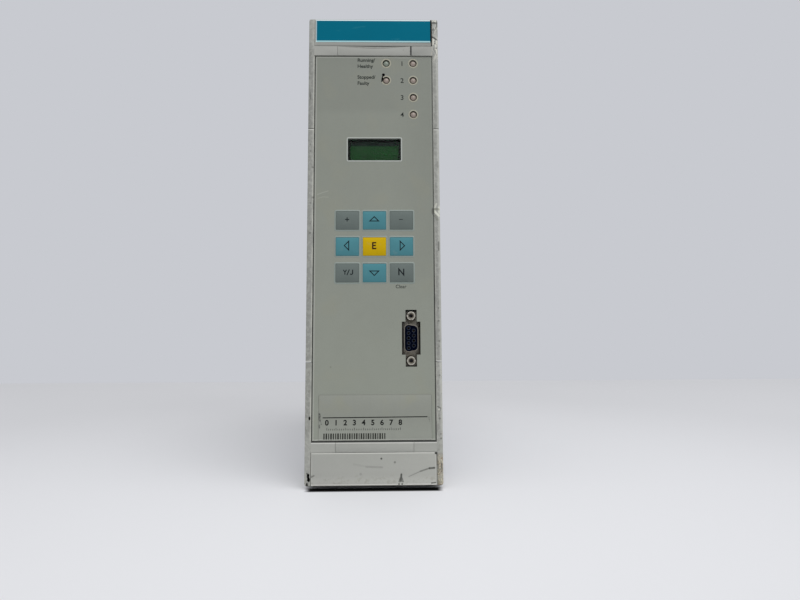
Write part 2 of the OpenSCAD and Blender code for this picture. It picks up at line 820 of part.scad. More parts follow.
module display_module() {
    color([0.12, 0.30, 0.14]) difference() {
        translate([layout_x, 0, window_z]) union() {
            block(-display_w / 2, display_w / 2, panel_back, panel_back + standoff - 2.5,
                  -display_h / 2, display_h / 2);
            block(1 - display_w / 2, display_w / 2 - 1, panel_back + 1, op_board_y,
                  1 - display_h / 2, display_h / 2 - 1);
        }
        translate([layout_x, 0, window_z])
            block(-window_w / 2, window_w / 2, panel_back - 1, panel_back + pocket_d,
                  pocket_edge - window_h / 2, window_h / 2 - pocket_edge);
    }
}

// A domed lamp: the dome, its barrel and the flange at its foot.
module lamp() {
    r = lamp_d / 2;
    dome_y = film_y - lamp_proud + r;
    translate([0, dome_y, 0]) rotate([90, 0, 0]) rotate_extrude($fn = 48)
        intersection() {
            circle(r);
            square(r);
        }
    rod(r, dome_y, lamp_base_y);
    rod(lamp_flange_d / 2, lamp_base_y - lamp_flange_t, lamp_base_y);
}

module status_leds() {
    color([0.80, 0.68, 0.64]) for (p = status_lamps) translate([p[0], 0, p[1]]) lamp();
}

module service_led() {
    color([0.62, 0.66, 0.60]) for (p = service_lamps) translate([p[0], 0, p[1]]) lamp();
}

module led_spacers() {
    color([0.08, 0.08, 0.08]) for (p = concat(status_lamps, service_lamps))
        translate([p[0], 0, p[1]]) rod(lamp_flange_d / 2, lamp_base_y, op_board_y);
}

// A key: its chamfered pad, the rim behind the panel and the plunger.
module key(col, row, tint) {
    c = key_corner * 0.5;
    color(tint) translate([key_x[col], 0, key_z[row]]) {
        upright(key_face_y + c, key_rim_y + 0.01) square([key_w, key_h], center = true);
        upright(key_face_y, key_face_y + c + 0.01) square([key_w - 2 * c, key_h - 2 * c], center = true);
        upright(key_rim_y, key_rim_y + key_rim_t)
            square([key_w + 2 * key_rim, key_h + 2 * key_rim], center = true);
        rod(plunger_d / 2, key_rim_y + key_rim_t - 0.01, switch_y + plunger_in);
    }
}

key_grey = [0.46, 0.49, 0.50];
key_blue = [0.35, 0.58, 0.64];
key_yellow = [0.84, 0.70, 0.05];

module key_plus() { key(0, 0, key_grey); }
module key_up() { key(1, 0, key_blue); }
module key_minus() { key(2, 0, key_grey); }
module key_left() { key(0, 1, key_blue); }
module key_enter() { key(1, 1, key_yellow); }
module key_right() { key(2, 1, key_blue); }
module key_yes() { key(0, 2, key_grey); }
module key_down() { key(1, 2, key_blue); }
module key_no() { key(2, 2, key_grey); }

module key_switches() {
    color([0.10, 0.10, 0.11]) for (x = key_x, z = key_z) translate([x, 0, z]) difference() {
        upright(switch_y, op_board_y) square(switch_w, center = true);
        rod(plunger_d / 2 + switch_hole_gap, switch_y - 1, switch_y + plunger_in + key_travel + 0.1);
    }
}

// The pressed metal shell of a port: its flange with two holes, and the D-shaped collar.
module port_shell(flange_y, out) {
    inner_w = port_w - 2 * port_wall;
    inner_h = port_h - 2 * port_wall;
    difference() {
        union() {
            upright(flange_y, flange_y + flange_t) rounded(flange_w, flange_l, 2);
            upright(flange_y - out, flange_y + 0.1) polygon(upright_d(port_w, port_h, port_r, port_slope));
        }
        upright(flange_y - out - 1, flange_y + flange_t + 1)
            polygon(upright_d(inner_w, inner_h, port_r - port_wall, port_slope));
        for (s = [-1, 1]) translate([0, 0, s * jack_pitch / 2])
            rod(jack_bore_d / 2 + jack_hole_gap, flange_y - 1, flange_y + flange_t + 1);
    }
}

// The insulator: the face with nine contact holes inside the shell, and the body behind the flange.
module port_insulator(flange_y, out, back_l) {
    inset = port_wall + 0.05;
    difference() {
        union() {
            upright(flange_y - out + 0.2, flange_y + flange_t + 0.1)
                polygon(upright_d(port_w - 2 * inset, port_h - 2 * inset, port_r - inset, port_slope));
            upright(flange_y + flange_t, flange_y + flange_t + back_l)
                square([port_body_w, port_body_l], center = true);
        }
        for (i = [0:8]) {
            row = i < 5 ? 1 : -1;
            along = i < 5 ? i - 2 : i - 6.5;
            translate([-row * contact_rows / 2, 0, along * contact_pitch])
                rod(contact_d / 2, flange_y - out, flange_y);
        }
    }
}

// A jack screw: a hexagon with a bore in its face and a threaded tail behind.
module jack_screw(foot_y, tail) {
    difference() {
        union() {
            intersection() {
                upright(foot_y - jack_h, foot_y) hexagon(jack_af);
                translate([0, foot_y, 0]) rotate([90, 0, 0])
                    cylinder(h = jack_h, r1 = jack_af, r2 = jack_af * 0.5, $fn = 32);
            }
            rod(jack_bore_d / 2, foot_y - 0.1, foot_y + tail);
        }
        rod(jack_bore_d / 2, foot_y - jack_h - 1, foot_y - 0.4);
    }
}

module front_port_shell() {
    color([0.62, 0.62, 0.60]) translate([port_x, 0, port_z]) port_shell(port_flange_y, port_shell_out);
}

module front_port_insulator() {
    color([0.04, 0.06, 0.18]) translate([port_x, 0, port_z])
        port_insulator(port_flange_y, port_shell_out, op_board_y - port_flange_y - flange_t);
}

module front_port_jacks() {
    color([0.66, 0.64, 0.60]) for (s = [-1, 1]) translate([port_x, 0, port_z + s * jack_pitch / 2])
        jack_screw(port_flange_y, jack_tail);
}

module operator_board() {
    color([0.10, 0.32, 0.18]) upright(op_board_y, op_board_back) difference() {
        translate([-op_board_half_w, op_board_bottom])
            square([2 * op_board_half_w, op_board_top - op_board_bottom]);
        for (p = boss_places) translate(p) circle(board_screw_d / 2 + hole_gap);
    }
}

module board_screws() {
    color([0.72, 0.72, 0.70]) for (p = boss_places) translate([p[0], op_board_back, p[1]])
        rotate([-90, 0, 0]) pan_screw(board_screw_d, board_head_d, board_head_h, board_t + boss_bite);
}

// The ribbon leaves its plug on the operator board, bends in one smooth S and
// ends in its plug on the processor board.
module ribbon_cable() {
    steps = 16;
    y0 = ribbon_start[1] + ribbon_plug_h;
    reach = ribbon_end[1] - y0;
    shift = ribbon_end[0] - ribbon_start[0];
    line = [for (i = [0:steps]) let (t = i / steps)
        [ribbon_start[0] + shift * (3 * t * t - 2 * t * t * t), y0 + reach * t]];
    side = [for (i = [0:steps]) let (t = i / steps, slope = atan2(shift * 6 * t * (1 - t), reach))
        [cos(slope), -sin(slope)] * ribbon_t / 2];
    outline = concat(
        [for (i = [0:steps]) line[i] + side[i]],
        [for (i = [steps:-1:0]) line[i] - side[i]]
    );
    z0 = ribbon_z - ribbon_w / 2;
    plug_z0 = z0 - ribbon_plug_past;
    plug_z1 = z0 + ribbon_w + ribbon_plug_past;
    color([0.55, 0.56, 0.58]) union() {
        translate([0, 0, z0]) linear_extrude(ribbon_w) polygon(outline);
        block(ribbon_start[0] - ribbon_plug_w / 2, ribbon_start[0] + ribbon_plug_w / 2,
              ribbon_start[1], y0 + 0.2, plug_z0, plug_z1);
        block(cpu_face, cpu_face + ribbon_plug_w, ribbon_end[1] - 0.2, ribbon_end[1] + ribbon_plug_h,
              plug_z0, plug_z1);
    }
}

module vent_slot() {
    straight = vent_l - vent_w;
    translate([0, 0, -sheet_t]) {
        linear_extrude(3 * sheet_t) square([straight, vent_w], center = true);
        for (s = [-1, 1]) translate([s * straight / 2, 0, 0]) cylinder(h = 3 * sheet_t, r = vent_w / 2);
    }
}

// The folded case, open in front, with its rim for the rear plate and rows of slots above and below.
module housing_shell() {
    color([0.66, 0.67, 0.66]) difference() {
        union() {
            upright(body_front_y, body_d) difference() {
                rounded(body_w, body_h, fold_r);
                rounded(2 * inside_x, 2 * inside_z, fold_inner_r);
            }
            upright(body_d - sheet_t, body_d) difference() {
                rounded(body_w - sheet_t, body_h - sheet_t, fold_inner_r);
                rounded(2 * (inside_x - rim_w), 2 * (inside_z - rim_h), 1);
            }
        }
        for (s = [-1, 1], i = [0:vent_count - 1], sx = [-1, 1])
            translate([sx * vent_x, vent_y0 + i * vent_pitch, s > 0 ? inside_z : -body_half_h]) vent_slot();
        for (s = [-1, 1], sx = [-1, 1])
            translate([sx * fix_screw_x, fix_screw_y, s > 0 ? inside_z - 1 : -body_half_h - 1])
                cylinder(h = sheet_t + 2, r = screw_d / 2 + hole_gap);
        for (p = rear_screws) translate([p[0], 0, p[1]])
            rod(screw_d / 2 + hole_gap, body_d - sheet_t - 1, body_d + 1);
    }
}

module rear_plate() {
    color([0.66, 0.67, 0.66]) upright(plate_y, plate_back) difference() {
        rounded(body_w - 2 * plate_inset, body_h - 2 * plate_inset, fold_r);
        for (b = [[upper_z, pole_h], [lower_z, pole_h], [current_z, current_h]])
            translate([block_x, b[0]])
                square([neck_w + 2 * neck_gap, b[1] - 2 * (neck_step - neck_gap)], center = true);
        translate([rear_port_x, rear_port_z]) {
            rounded(port_h + 2 * rear_cut_gap, port_w + 2 * rear_cut_gap, 2);
            for (s = [-1, 1]) translate([0, s * jack_pitch / 2]) circle(jack_bore_d / 2 + jack_hole_gap);
        }
        for (p = rear_screws) translate(p) circle(screw_d / 2 + hole_gap);
        translate([stud_x, stud_z]) circle(stud_core_d / 2 + hole_gap);
    }
}

// The angle that carries two fixing slots, drawn as the upper one.
module flange() {
    straight = slot_l - slot_w;
    difference() {
        union() {
            block(-fix_half_w, fix_half_w, -fix_t, 0, body_half_h, body_half_h + fix_h);
            block(-fix_leg_half, fix_leg_half, -fix_leg, -fix_t + 0.1, body_half_h, body_half_h + fix_t);
        }
        for (sx = [-1, 1]) {
            translate([sx * fix_slot_x, 0, fix_slot_z]) {
                block(-straight / 2, straight / 2, -fix_t - 1, 1, -slot_w / 2, slot_w / 2);
                for (e = [-1, 1]) translate([e * straight / 2, 0, 0]) rod(slot_w / 2, -fix_t - 1, 1);
            }
            translate([sx * fix_screw_x, fix_screw_y, body_half_h - 1])
                cylinder(h = fix_t + 2, r = screw_d / 2 + hole_gap);
        }
    }
}

module flange_top() {
    color([0.72, 0.72, 0.70]) flange();
}

module flange_bottom() {
    color([0.72, 0.72, 0.70]) mirror([0, 0, 1]) flange();
}

module housing_screws() {
    color([0.74, 0.74, 0.72]) {
        for (turn = [0, 180], sx = [-1, 1]) rotate([0, turn, 0])
            translate([sx * fix_screw_x, fix_screw_y, body_half_h + fix_t])
                pan_screw(screw_d, head_d, head_h, fix_t + sheet_t + screw_past);
        for (p = rear_screws) translate([p[0], plate_back, p[1]]) rotate([-90, 0, 0])
            pan_screw(screw_d, head_d, head_h, 2 * sheet_t + screw_past);
    }
}

// Grooved rails above and below that carry the two upright boards.
module card_guides() {
    color([0.16, 0.16, 0.17]) for (x = [cpu_x, io_x], s = [-1, 1])
        translate([x + board_t / 2, 0, 0]) mirror([0, 0, s < 0 ? 1 : 0]) difference() {
            block(-guide_w / 2, guide_w / 2, board_y0 - 2, board_y1, guide_z, inside_z);
            block(-board_t / 2 - groove_gap, board_t / 2 + groove_gap, board_y0 - 3, board_y1 + 1,
                  guide_z - 1, guide_z + groove_d);
        }
}

module upright_board(x) {
    color([0.10, 0.32, 0.18])
        block(x, x + board_t, board_y0, board_y1, -board_half_h, board_half_h);
}

module cpu_board() { upright_board(cpu_x); }
module io_board() { upright_board(io_x); }

// Places a part on a board's right face; x stands off the board there.
module on_board(face, y, z) {
    translate([face, y, z]) children();
}

// A flat chip whose upper edges are bevelled, with a dot that marks its first pin.
module chip(l, w, h) {
    bevel = h * 0.25;
    difference() {
        rotate([90, 0, 90]) union() {
            linear_extrude(h - bevel) square([l, w], center = true);
            linear_extrude(h) square([l - 2 * bevel, w - 2 * bevel], center = true);
        }
        translate([h - 0.4, 2.5 * bevel - l / 2, w / 2 - 2.5 * bevel]) rotate([0, 90, 0])
            cylinder(h = 1, r = 0.9);
    }
}

module processor() {
    color([0.09, 0.09, 0.10]) on_board(cpu_face, cpu_part_y, processor_z) chip(cpu_w, cpu_w, cpu_h);
}

module memory_chips() {
    color([0.09, 0.09, 0.10]) for (z = memory_z)
        on_board(cpu_face, cpu_part_y, z) chip(memory_l, memory_w, memory_h);
}

module battery() {
    color([0.75, 0.76, 0.30]) on_board(cpu_face + holder_t + battery_d / 2, cpu_part_y, battery_z) {
        rod(battery_d / 2, -battery_l / 2, battery_l / 2);
        rod(battery_d / 5, battery_l / 2 - 0.1, battery_l / 2 + 1);
    }
}

// The holder is a trough with two end walls.
module battery_holder() {
    gap = 0.2;
    half_l = battery_l / 2 + 1 + gap;
    half_w = battery_d / 2 + gap;
    deep = holder_t + battery_d * 0.6;
    color([0.12, 0.12, 0.13]) on_board(cpu_face, cpu_part_y, battery_z) {
        difference() {
            block(0, deep, -half_l - holder_t, half_l + holder_t, -half_w - holder_t, half_w + holder_t);
            translate([holder_t + battery_d / 2, 0, 0]) rod(half_w, -half_l, half_l);
            block(holder_t + battery_d / 2, deep + 1, -half_l, half_l, -half_w, half_w);
        }
    }
}

// A transformer: an iron core with a window, and the bobbin that fills it.
module transformer(l, w, h) {
    leg = l / 6;
    yoke = h / 6;
    bobbin = w * 0.16;
    union() {
        block(bobbin * 0.4, h, -l / 2, l / 2, bobbin - w / 2, w / 2 - bobbin);
        block(0, h - yoke, leg - l / 2, l / 2 - leg, -w / 2, w / 2);
    }
}

module power_transformer() {
    color([0.45, 0.42, 0.36]) on_board(io_face, power_y, power_z) transformer(power_l, power_w, power_h);
}

module current_transformers() {
    color([0.35, 0.35, 0.38]) for (i = [0:ct_count - 1])
        on_board(io_face, ct_y, ct_z + i * (ct_w + part_gap)) transformer(ct_l, ct_w, ct_h);
}

module capacitors() {
    r = capacitor_d / 2;
    color([0.10, 0.14, 0.35]) for (i = [0:capacitor_count - 1])
        on_board(io_face, capacitor_y + i * (capacitor_d + part_gap), capacitor_z)
            rotate([0, 90, 0]) rotate_extrude() union() {
                square([r, capacitor_h - 1]);
                square([r - 1, capacitor_h]);
                translate([r - 1, capacitor_h - 1]) circle(1);
            }
}

// A relay's case, a little smaller than the base plate that it stands on.
module relay_box() {
    base = 2;
    step = 0.6;
    rotate([90, 0, 90]) union() {
        linear_extrude(base) square([relay_l, relay_w], center = true);
        linear_extrude(relay_h) rounded(relay_l - step, relay_w - step, 1);
    }
}

module output_relays() {
    color([0.14, 0.22, 0.42]) for (i = [0:relay_count - 1])
        on_board(io_face, relay_y, relay_z - i * (relay_w + part_gap)) relay_box();
}

module optocouplers() {
    color([0.88, 0.88, 0.84]) for (i = [0:opto_count - 1])
        on_board(io_face, opto_y, opto_z - i * 2 * opto_w) chip(opto_l, opto_w, opto_h);
}

// The screw compartments of the current block, in two columns that mirror each other.
module current_cells() {
    x = (current_cell_w + current_wall) / 2;
    y = plate_back + current_d - current_pit;
    for (c = [0, 1], r = [0:current_rows - 1])
        translate([block_x, y, current_z + (r - (current_rows - 1) / 2) * current_pitch])
            mirror([c, 0, 0]) translate([x, 0, 0]) children();
}

module current_block() {
    h = current_h;
    half = current_cell_w / 2;
    color([0.13, 0.13, 0.14]) difference() {
        translate([block_x, 0, current_z]) union() {
            upright(plate_back, plate_back + current_d) rounded(block_w, h + current_wall, 1);
            block(-neck_w / 2, neck_w / 2, neck_y, plate_back + 0.1,
                  neck_step - h / 2, h / 2 - neck_step);
        }
        current_cells() block(-half, half, 0, current_pit + 1, -current_cell_h / 2, current_cell_h / 2);
        current_cells() rod(current_screw_d / 2 + hole_gap, -current_bite - 2, 1);
        current_cells()
            block(0, half + 2 * current_wall, wire_sill, current_pit + 1, -wire_w / 2, wire_w / 2);
    }
}

// In each compartment a square plate lies under a pan-head screw.
module current_screws() {
    half = current_plate / 2;
    color([0.75, 0.70, 0.52]) current_cells() {
        difference() {
            block(-half, half, 0, current_plate_t, -half, half);
            rod(current_screw_d / 2 + hole_gap, -1, current_plate_t + 1);
        }
        translate([0, current_plate_t + hair, 0]) rotate([-90, 0, 0])
            pan_screw(current_screw_d, current_head_d, current_head_h,
                      current_plate_t + current_bite);
    }
}

// The places of the poles in one twelve-pole block, two to a row.
module poles(z) {
    for (c = [-1, 1], r = [0:pole_rows - 1])
        translate([block_x, plate_back, z + (r - (pole_rows - 1) / 2) * pole_pitch])
            mirror([c < 0 ? 1 : 0, 0, 0]) children();
}

// A twelve-pole block: screw wells in its flat back, wire holes in its sloping sides.
module pole_block(z) {
    half = block_w / 2;
    // A wire hole runs from the middle of the slope to just under the floor of its well.
    mouth = [(half + pole_flat) / 2, (pole_d + pole_shoulder) / 2];
    aim = [pole_screw_x, pole_d - well_l - wire_d * 0.35];
    tilt = atan2(mouth[0] - aim[0], mouth[1] - aim[1]);
    wire_l = norm(mouth - aim) - wire_short;
    color([0.13, 0.13, 0.14]) difference() {
        union() {
            translate([block_x, plate_back, z - pole_h / 2]) linear_extrude(pole_h) polygon([
                [-half, 0], [-half, pole_shoulder], [-pole_flat, pole_d],
                [pole_flat, pole_d], [half, pole_shoulder], [half, 0]
            ]);
            block(block_x - neck_w / 2, block_x + neck_w / 2, neck_y, plate_back + 0.1,
                  z - pole_h / 2 + neck_step, z + pole_h / 2 - neck_step);
        }
        poles(z) translate([pole_screw_x, 0, 0]) rod(well_d / 2, pole_d - well_l, pole_d + 1);
        poles(z) translate([mouth[0], mouth[1], 0])
            rotate([0, 0, -tilt]) rod(wire_d / 2, -wire_l, 1 + wire_d);
        for (r = [1:pole_rows - 1])
            translate([block_x, plate_back + pole_d, z + (r - pole_rows / 2) * pole_pitch])
                block(-pole_flat - 1, pole_flat + 1, -0.8, 1, -0.4, 0.4);
    }
}

module upper_block() { pole_block(upper_z); }
module lower_block() { pole_block(lower_z); }

module block_screws() {
    r = well_d / 2 - 0.1;
    color([0.76, 0.76, 0.74]) for (z = [upper_z, lower_z])
        poles(z) translate([pole_screw_x, 0, 0]) difference() {
            rod(r, pole_d - well_l, pole_d - well_sink);
            block(-0.35, 0.35, pole_d - well_sink - 1, pole_d - well_sink + 1, -r - 1, r + 1);
        }
}

// The rear port looks backwards, so the pieces of a port are drawn turned round.
module at_rear_port() {
    translate([rear_port_x, rear_flange_y, rear_port_z]) rotate([0, 0, 180])
        translate([0, -flange_t, 0]) children();
}

module rear_port_shell() {
    color([0.62, 0.62, 0.60]) at_rear_port() port_shell(0, port_shell_out);
}

module rear_port_insulator() {
    color([0.07, 0.07, 0.08]) at_rear_port() port_insulator(0, port_shell_out, rear_port_d);
}

module rear_port_jacks() {
    color([0.66, 0.64, 0.60]) at_rear_port() for (s = [-1, 1])
        translate([0, 0, s * jack_pitch / 2]) jack_screw(-sheet_t, sheet_t + jack_tail);
}

// The stud with its head inside, a washer and a nut outside.
module earth_stud() {
    nut_y = plate_back + washer_t;
    free_y = nut_y + nut_h;
    color([0.78, 0.72, 0.45]) translate([stud_x, 0, stud_z]) {
        upright(plate_y - 2.5, plate_y) hexagon(nut_af);
        rod(stud_core_d / 2, plate_y - 0.1, free_y + hair + 0.1);
        rod(stud_d / 2, free_y + hair, free_y + stud_free);
        upright(plate_back + hair, nut_y - hair) difference() {
            circle(nut_af * 0.64);
            circle(stud_core_d / 2 + hole_gap);
        }
        upright(nut_y, free_y) difference() {
            hexagon(nut_af);
            circle(stud_core_d / 2 + 0.05);
        }
    }
}

frame_top();
frame_bottom();
side_strip(-1);  // side_strip_left
side_strip(1);  // side_strip_right
latch(band_top_z, band_top_h, true);  // latch_top
mirror([0, 0, 1]) latch(band_bottom_z, band_bottom_h, false);  // latch_bottom
top_cap();
colour_strip();
bottom_cap();
front_panel();
front_foil();
label_plate();
display_window();
display_module();
status_leds();
service_led();
led_spacers();
key_plus();
key_up();
key_minus();
key_left();
key_enter();
key_right();
key_yes();
key_down();
key_no();
key_switches();
front_port_shell();
front_port_insulator();
front_port_jacks();
operator_board();
board_screws();
ribbon_cable();
housing_shell();
rear_plate();
flange_top();
flange_bottom();
housing_screws();
card_guides();
cpu_board();
processor();
memory_chips();
battery();
battery_holder();
io_board();
power_transformer();
capacitors();
output_relays();
current_transformers();
optocouplers();
current_block();
current_screws();
upper_block();
lower_block();
block_screws();
rear_port_shell();
rear_port_insulator();
rear_port_jacks();
earth_stud();
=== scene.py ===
"""Dresses the packed protection relay: the finish of every CAD node, and the printed, worn, moulded and
wired detail that stands on them. Lengths in this file are millimetres on the relay, as in its source."""

import functools
import math

import bpy
import numpy as np
from bpy.props import FloatProperty, FloatVectorProperty, PointerProperty
from mathutils import Euler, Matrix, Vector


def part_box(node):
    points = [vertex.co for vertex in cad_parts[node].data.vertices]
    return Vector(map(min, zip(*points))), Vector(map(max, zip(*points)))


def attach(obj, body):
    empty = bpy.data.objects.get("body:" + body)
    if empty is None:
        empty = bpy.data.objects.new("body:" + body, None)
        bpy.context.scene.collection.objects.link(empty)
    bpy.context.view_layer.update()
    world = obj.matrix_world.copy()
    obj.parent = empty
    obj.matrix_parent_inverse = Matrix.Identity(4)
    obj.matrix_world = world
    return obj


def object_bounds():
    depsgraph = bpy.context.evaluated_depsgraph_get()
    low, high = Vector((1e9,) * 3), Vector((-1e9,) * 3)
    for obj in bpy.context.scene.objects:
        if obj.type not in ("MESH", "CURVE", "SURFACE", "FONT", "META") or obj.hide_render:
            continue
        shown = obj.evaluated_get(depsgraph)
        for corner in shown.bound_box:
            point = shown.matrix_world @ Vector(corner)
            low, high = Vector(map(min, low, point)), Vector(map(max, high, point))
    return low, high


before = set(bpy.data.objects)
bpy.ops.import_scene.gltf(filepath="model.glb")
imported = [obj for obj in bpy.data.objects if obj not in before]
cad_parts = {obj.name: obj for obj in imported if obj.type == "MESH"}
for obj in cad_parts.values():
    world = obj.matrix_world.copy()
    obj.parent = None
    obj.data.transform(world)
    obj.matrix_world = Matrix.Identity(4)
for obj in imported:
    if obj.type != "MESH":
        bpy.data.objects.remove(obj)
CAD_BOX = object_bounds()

bl_info = {
    "name": "Protection Relay Dressing",
    "version": (1, 0, 0),
    "blender": (4, 5, 0),
    "location": "View3D > Sidebar > Relay",
    "description": "Gives a packed protection relay its finishes, print, wear and fine detail",
    "category": "Object",
}

MM = 0.001
CASE = "case"
CAPITAL = 0.73  # Height of a capital in the built-in face, as a share of its size
KEY_BACK = 0.5  # How far a key's hidden back rim stands out past its face, all round
INK_FOOT = -0.01  # Where print starts, a little inside the surface that carries it
FOOT = -0.02  # Where other raised detail starts
SHARP = math.radians(35)  # Edges of the added pieces that bend more than this stay sharp
ROUNDED = math.radians(40)  # Edges of the CAD nodes that bend more than this are rounded


def linear(red, green, blue):
    """A colour given as 0 to 255 on screen, as the linear values that shaders take."""
    tone = np.array([red, green, blue]) / 255
    low, high = tone / 12.92, ((tone + 0.055) / 1.055) ** 2.4
    return tuple(float(v) for v in np.where(tone <= 0.04045, low, high))


def box(node):
    """The lowest and highest corner of a CAD node, in millimetres."""
    return tuple(np.array(corner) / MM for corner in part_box(node))


def middle(node):
    """The middle of a CAD node's box, in millimetres."""
    low, high = box(node)
    return (low + high) / 2


def front_of(node):
    """Where a CAD node ends towards the front, along Y."""
    return box(node)[0][1]


def back_of(node):
    """Where a CAD node ends towards the back, along Y."""
    return box(node)[1][1]


def right_of(node):
    """Where a CAD node ends towards the right, along X."""
    return box(node)[1][0]


def tone(name, words, *screen):
    """A colour property with its default given as 0 to 255 on screen."""
    return FloatVectorProperty(
        name=name, description=words, subtype="COLOR", size=3, min=0, max=1, default=linear(*screen)
    )


def amount(name, words, default, **limits):
    """A number property from 0 up, in millimetres unless its words say otherwise."""
    return FloatProperty(name=name, description=words, min=0, default=default, **limits)


# Settings


class PaintSettings(bpy.types.PropertyGroup):
    """Colours of the paint, films and mouldings, and how worn they are."""

    frame_tone: tone("Frame", "Paint of the front frame", 153, 154, 148)
    cap_tone: tone("Caps", "Paint of the two snap-on caps", 159, 160, 154)
    strip_tone: tone("Strip", "Coloured strip on the upper cap", 0, 101, 124)
    strip_line: tone("Strip line", "Pale line along the strip's lower edge", 171, 212, 216)
    film_tone: tone("Film", "Printed film on the front panel", 132, 136, 126)
    label_tone: tone("Label", "Rating label at the foot of the film", 134, 137, 128)
    ink_tone: tone("Ink", "Print on the film and the label", 14, 16, 15)
    bare_tone: tone("Bare metal", "What shows where the paint is worn through", 178, 172, 160)
    dirt_tone: tone("Dirt", "Scratches and dirt in the paint", 62, 62, 56)
    rust_tone: tone("Rust", "Brown wear at the lower corner", 128, 100, 74)
    wear: amount("Wear", "How worn the edges are", 0.6, max=1, subtype="FACTOR")


class PrintSettings(bpy.types.PropertyGroup):
    """Sizes of what is printed on the front."""

    ink: amount("Ink", "How far the print stands off the film", 0.03)
    numeral: amount("Numerals", "Height of the numbers beside the lamps", 2.9)
    numeral_gap: amount("Numeral gap", "From a lamp's middle to its number", 6.4)
    caption: amount("Captions", "Height of the small captions", 2.1)
    caption_gap: amount("Caption gap", "From a lamp's middle to the start of its caption", 16.7)
    caption_line: amount("Caption lines", "From one line of a caption to the next", 3.7)
    rule: amount("Rule", "Thickness of the line on the label", 0.5)
    label_numeral: amount("Label numerals", "Height of the row of numbers on the label", 2.9)
    rule_up: amount("Rule height", "How far the rule stands above the label's foot", 12.1)


class KeySettings(bpy.types.PropertyGroup):
    """Shapes of the keys' covers, rims and marks."""

    crown: amount("Crown", "How far a key's cover swells at its middle", 0.32)
    rim_width: amount("Rim width", "Width of the raised rim round each key", 0.85)
    rim_height: amount("Rim height", "Height of that rim", 0.27)
    rim_lap: amount("Rim lap", "How far the rim laps over the key's edge", 0.12)
    line: amount("Line", "Width of the triangles' lines", 0.5)
    arrow_long: amount("Arrow length", "Long side of the triangles", 5.0)
    arrow_short: amount("Arrow height", "Short side of the triangles", 2.5)
    blue_tone: tone("Blue keys", "Colour of the four arrow keys", 72, 125, 134)
    grey_tone: tone("Grey keys", "Colour of the grey keys", 99, 108, 105)
    yellow_tone: tone("Yellow key", "Colour of the enter key", 188, 156, 0)
    rim_tone: tone("Rims", "Pale rim round each key", 134, 144, 138)


class LampSettings(bpy.types.PropertyGroup):
    """Shapes and colours of the lamps' lenses and collars."""

    collar: amount("Collar", "Width of the pale collar round each lamp", 0.75)
    collar_inner: amount("Collar bore", "Radius of the collar's bore", 2.12)
    collar_height: amount("Collar height", "How far the collar stands off the film", 0.1)
    red_tone: tone("Alarm lenses", "Milky lens of the alarm lamps", 148, 135, 125)
    clear_tone: tone("Service lens", "Greenish lens of the service lamp", 124, 133, 121)
    collar_tone: tone("Collars", "Pale collars in the film", 160, 158, 142)


class DisplaySettings(bpy.types.PropertyGroup):
    """Shapes and colours of the display."""

    lip: amount("Lip", "Width of the pale lip round the window", 0.7)
    lip_height: amount("Lip height", "Height of that lip", 0.12)
    glass_tone: tone("Glass", "Dark green of the switched-off glass", 30, 80, 36)
    band_tone: tone("Band", "Darker band along the glass's top", 8, 30, 22)
    lip_tone: tone("Lip colour", "Pale lip of the window", 168, 172, 166)


class PortSettings(bpy.types.PropertyGroup):
    """Shapes and colours of the nine-way ports."""

    contact: amount("Contact", "Radius of the contact holes", 0.65)
    bore: amount("Bore", "Radius of the jack screws' bore between its threads", 1.05)
    pitch: amount("Pitch", "From one contact to the next in a row", 2.77)
    rows: amount("Rows", "From one row of contacts to the other", 2.84)
    blue_tone: tone("Front insulator", "Dark blue of the front port's insulator", 4, 7, 21)
    shell_tone: tone("Shell", "Bare metal of the ports' shells", 132, 128, 118)
    jack_tone: tone("Jack screws", "Plating of the jack screws", 186, 182, 168)


class HardwareSettings(bpy.types.PropertyGroup):
    """Shapes of threads, rivets and other small hardware."""

    thread_pitch: amount("Thread pitch", "Pitch of the earth stud's thread", 0.7)
    thread_depth: amount("Thread depth", "Depth of the earth stud's thread", 0.3)
    rivet: amount("Rivets", "Diameter of the rivets in the sheet", 4.0)
    steel_tone: tone("Plated steel", "Zinc-plated steel of flanges and screws", 182, 182, 176)
    sheet_tone: tone("Housing sheet", "Galvanised sheet of the housing", 170, 173, 174)
    brass_tone: tone("Brass", "Brass of the stud and the current screws", 190, 160, 92)
    black_tone: tone("Black plastic", "Terminal blocks and other black mouldings", 26, 26, 28)


class BoardSettings(bpy.types.PropertyGroup):
    """Shapes and colours of the electronics."""

    pin_pitch: amount("Pin pitch", "From one pin of a chip to the next", 1.27)
    joint: amount("Solder joints", "Diameter of a solder joint", 1.8)
    mask_tone: tone("Solder mask", "Green of the boards", 16, 74, 44)
    trace_tone: tone("Tracks", "Lighter green over the copper tracks", 34, 112, 62)
    copper_tone: tone("Copper", "Winding wire", 176, 92, 48)


class StageSettings(bpy.types.PropertyGroup):
    """Where the camera stands, and how the floor and the light are set."""

    eye: FloatVectorProperty(
        name="Camera", description="Place of the camera, in metres", size=3, subtype="TRANSLATION",
        default=(0.00827, -0.36143, -0.06781),
    )
    aim: FloatVectorProperty(
        name="Camera turn", description="Turn of the camera about X, Y and Z", size=3, subtype="EULER",
        default=tuple(math.radians(a) for a in (96.0993, 0.3188, -1.0551)),
    )
    lens: amount("Lens", "Focal length for a 36 mm sensor", 27, subtype="DISTANCE_CAMERA")
    floor_far: amount("Floor", "How far behind the relay the floor ends, in metres", 0.6)
    floor_reach: amount("Reach", "How far the floor reaches on its other sides, in metres", 4.0)
    floor_tone: tone("Floor", "Pale floor", 214, 215, 219)
    wall_tone: tone("Backdrop", "Pale backdrop", 200, 202, 208)
    sky: amount("Sky", "Strength of the even light from all round", 0.7)
    softbox: amount("Softbox", "Power of the large lamp, in watts", 16.0, subtype="POWER")


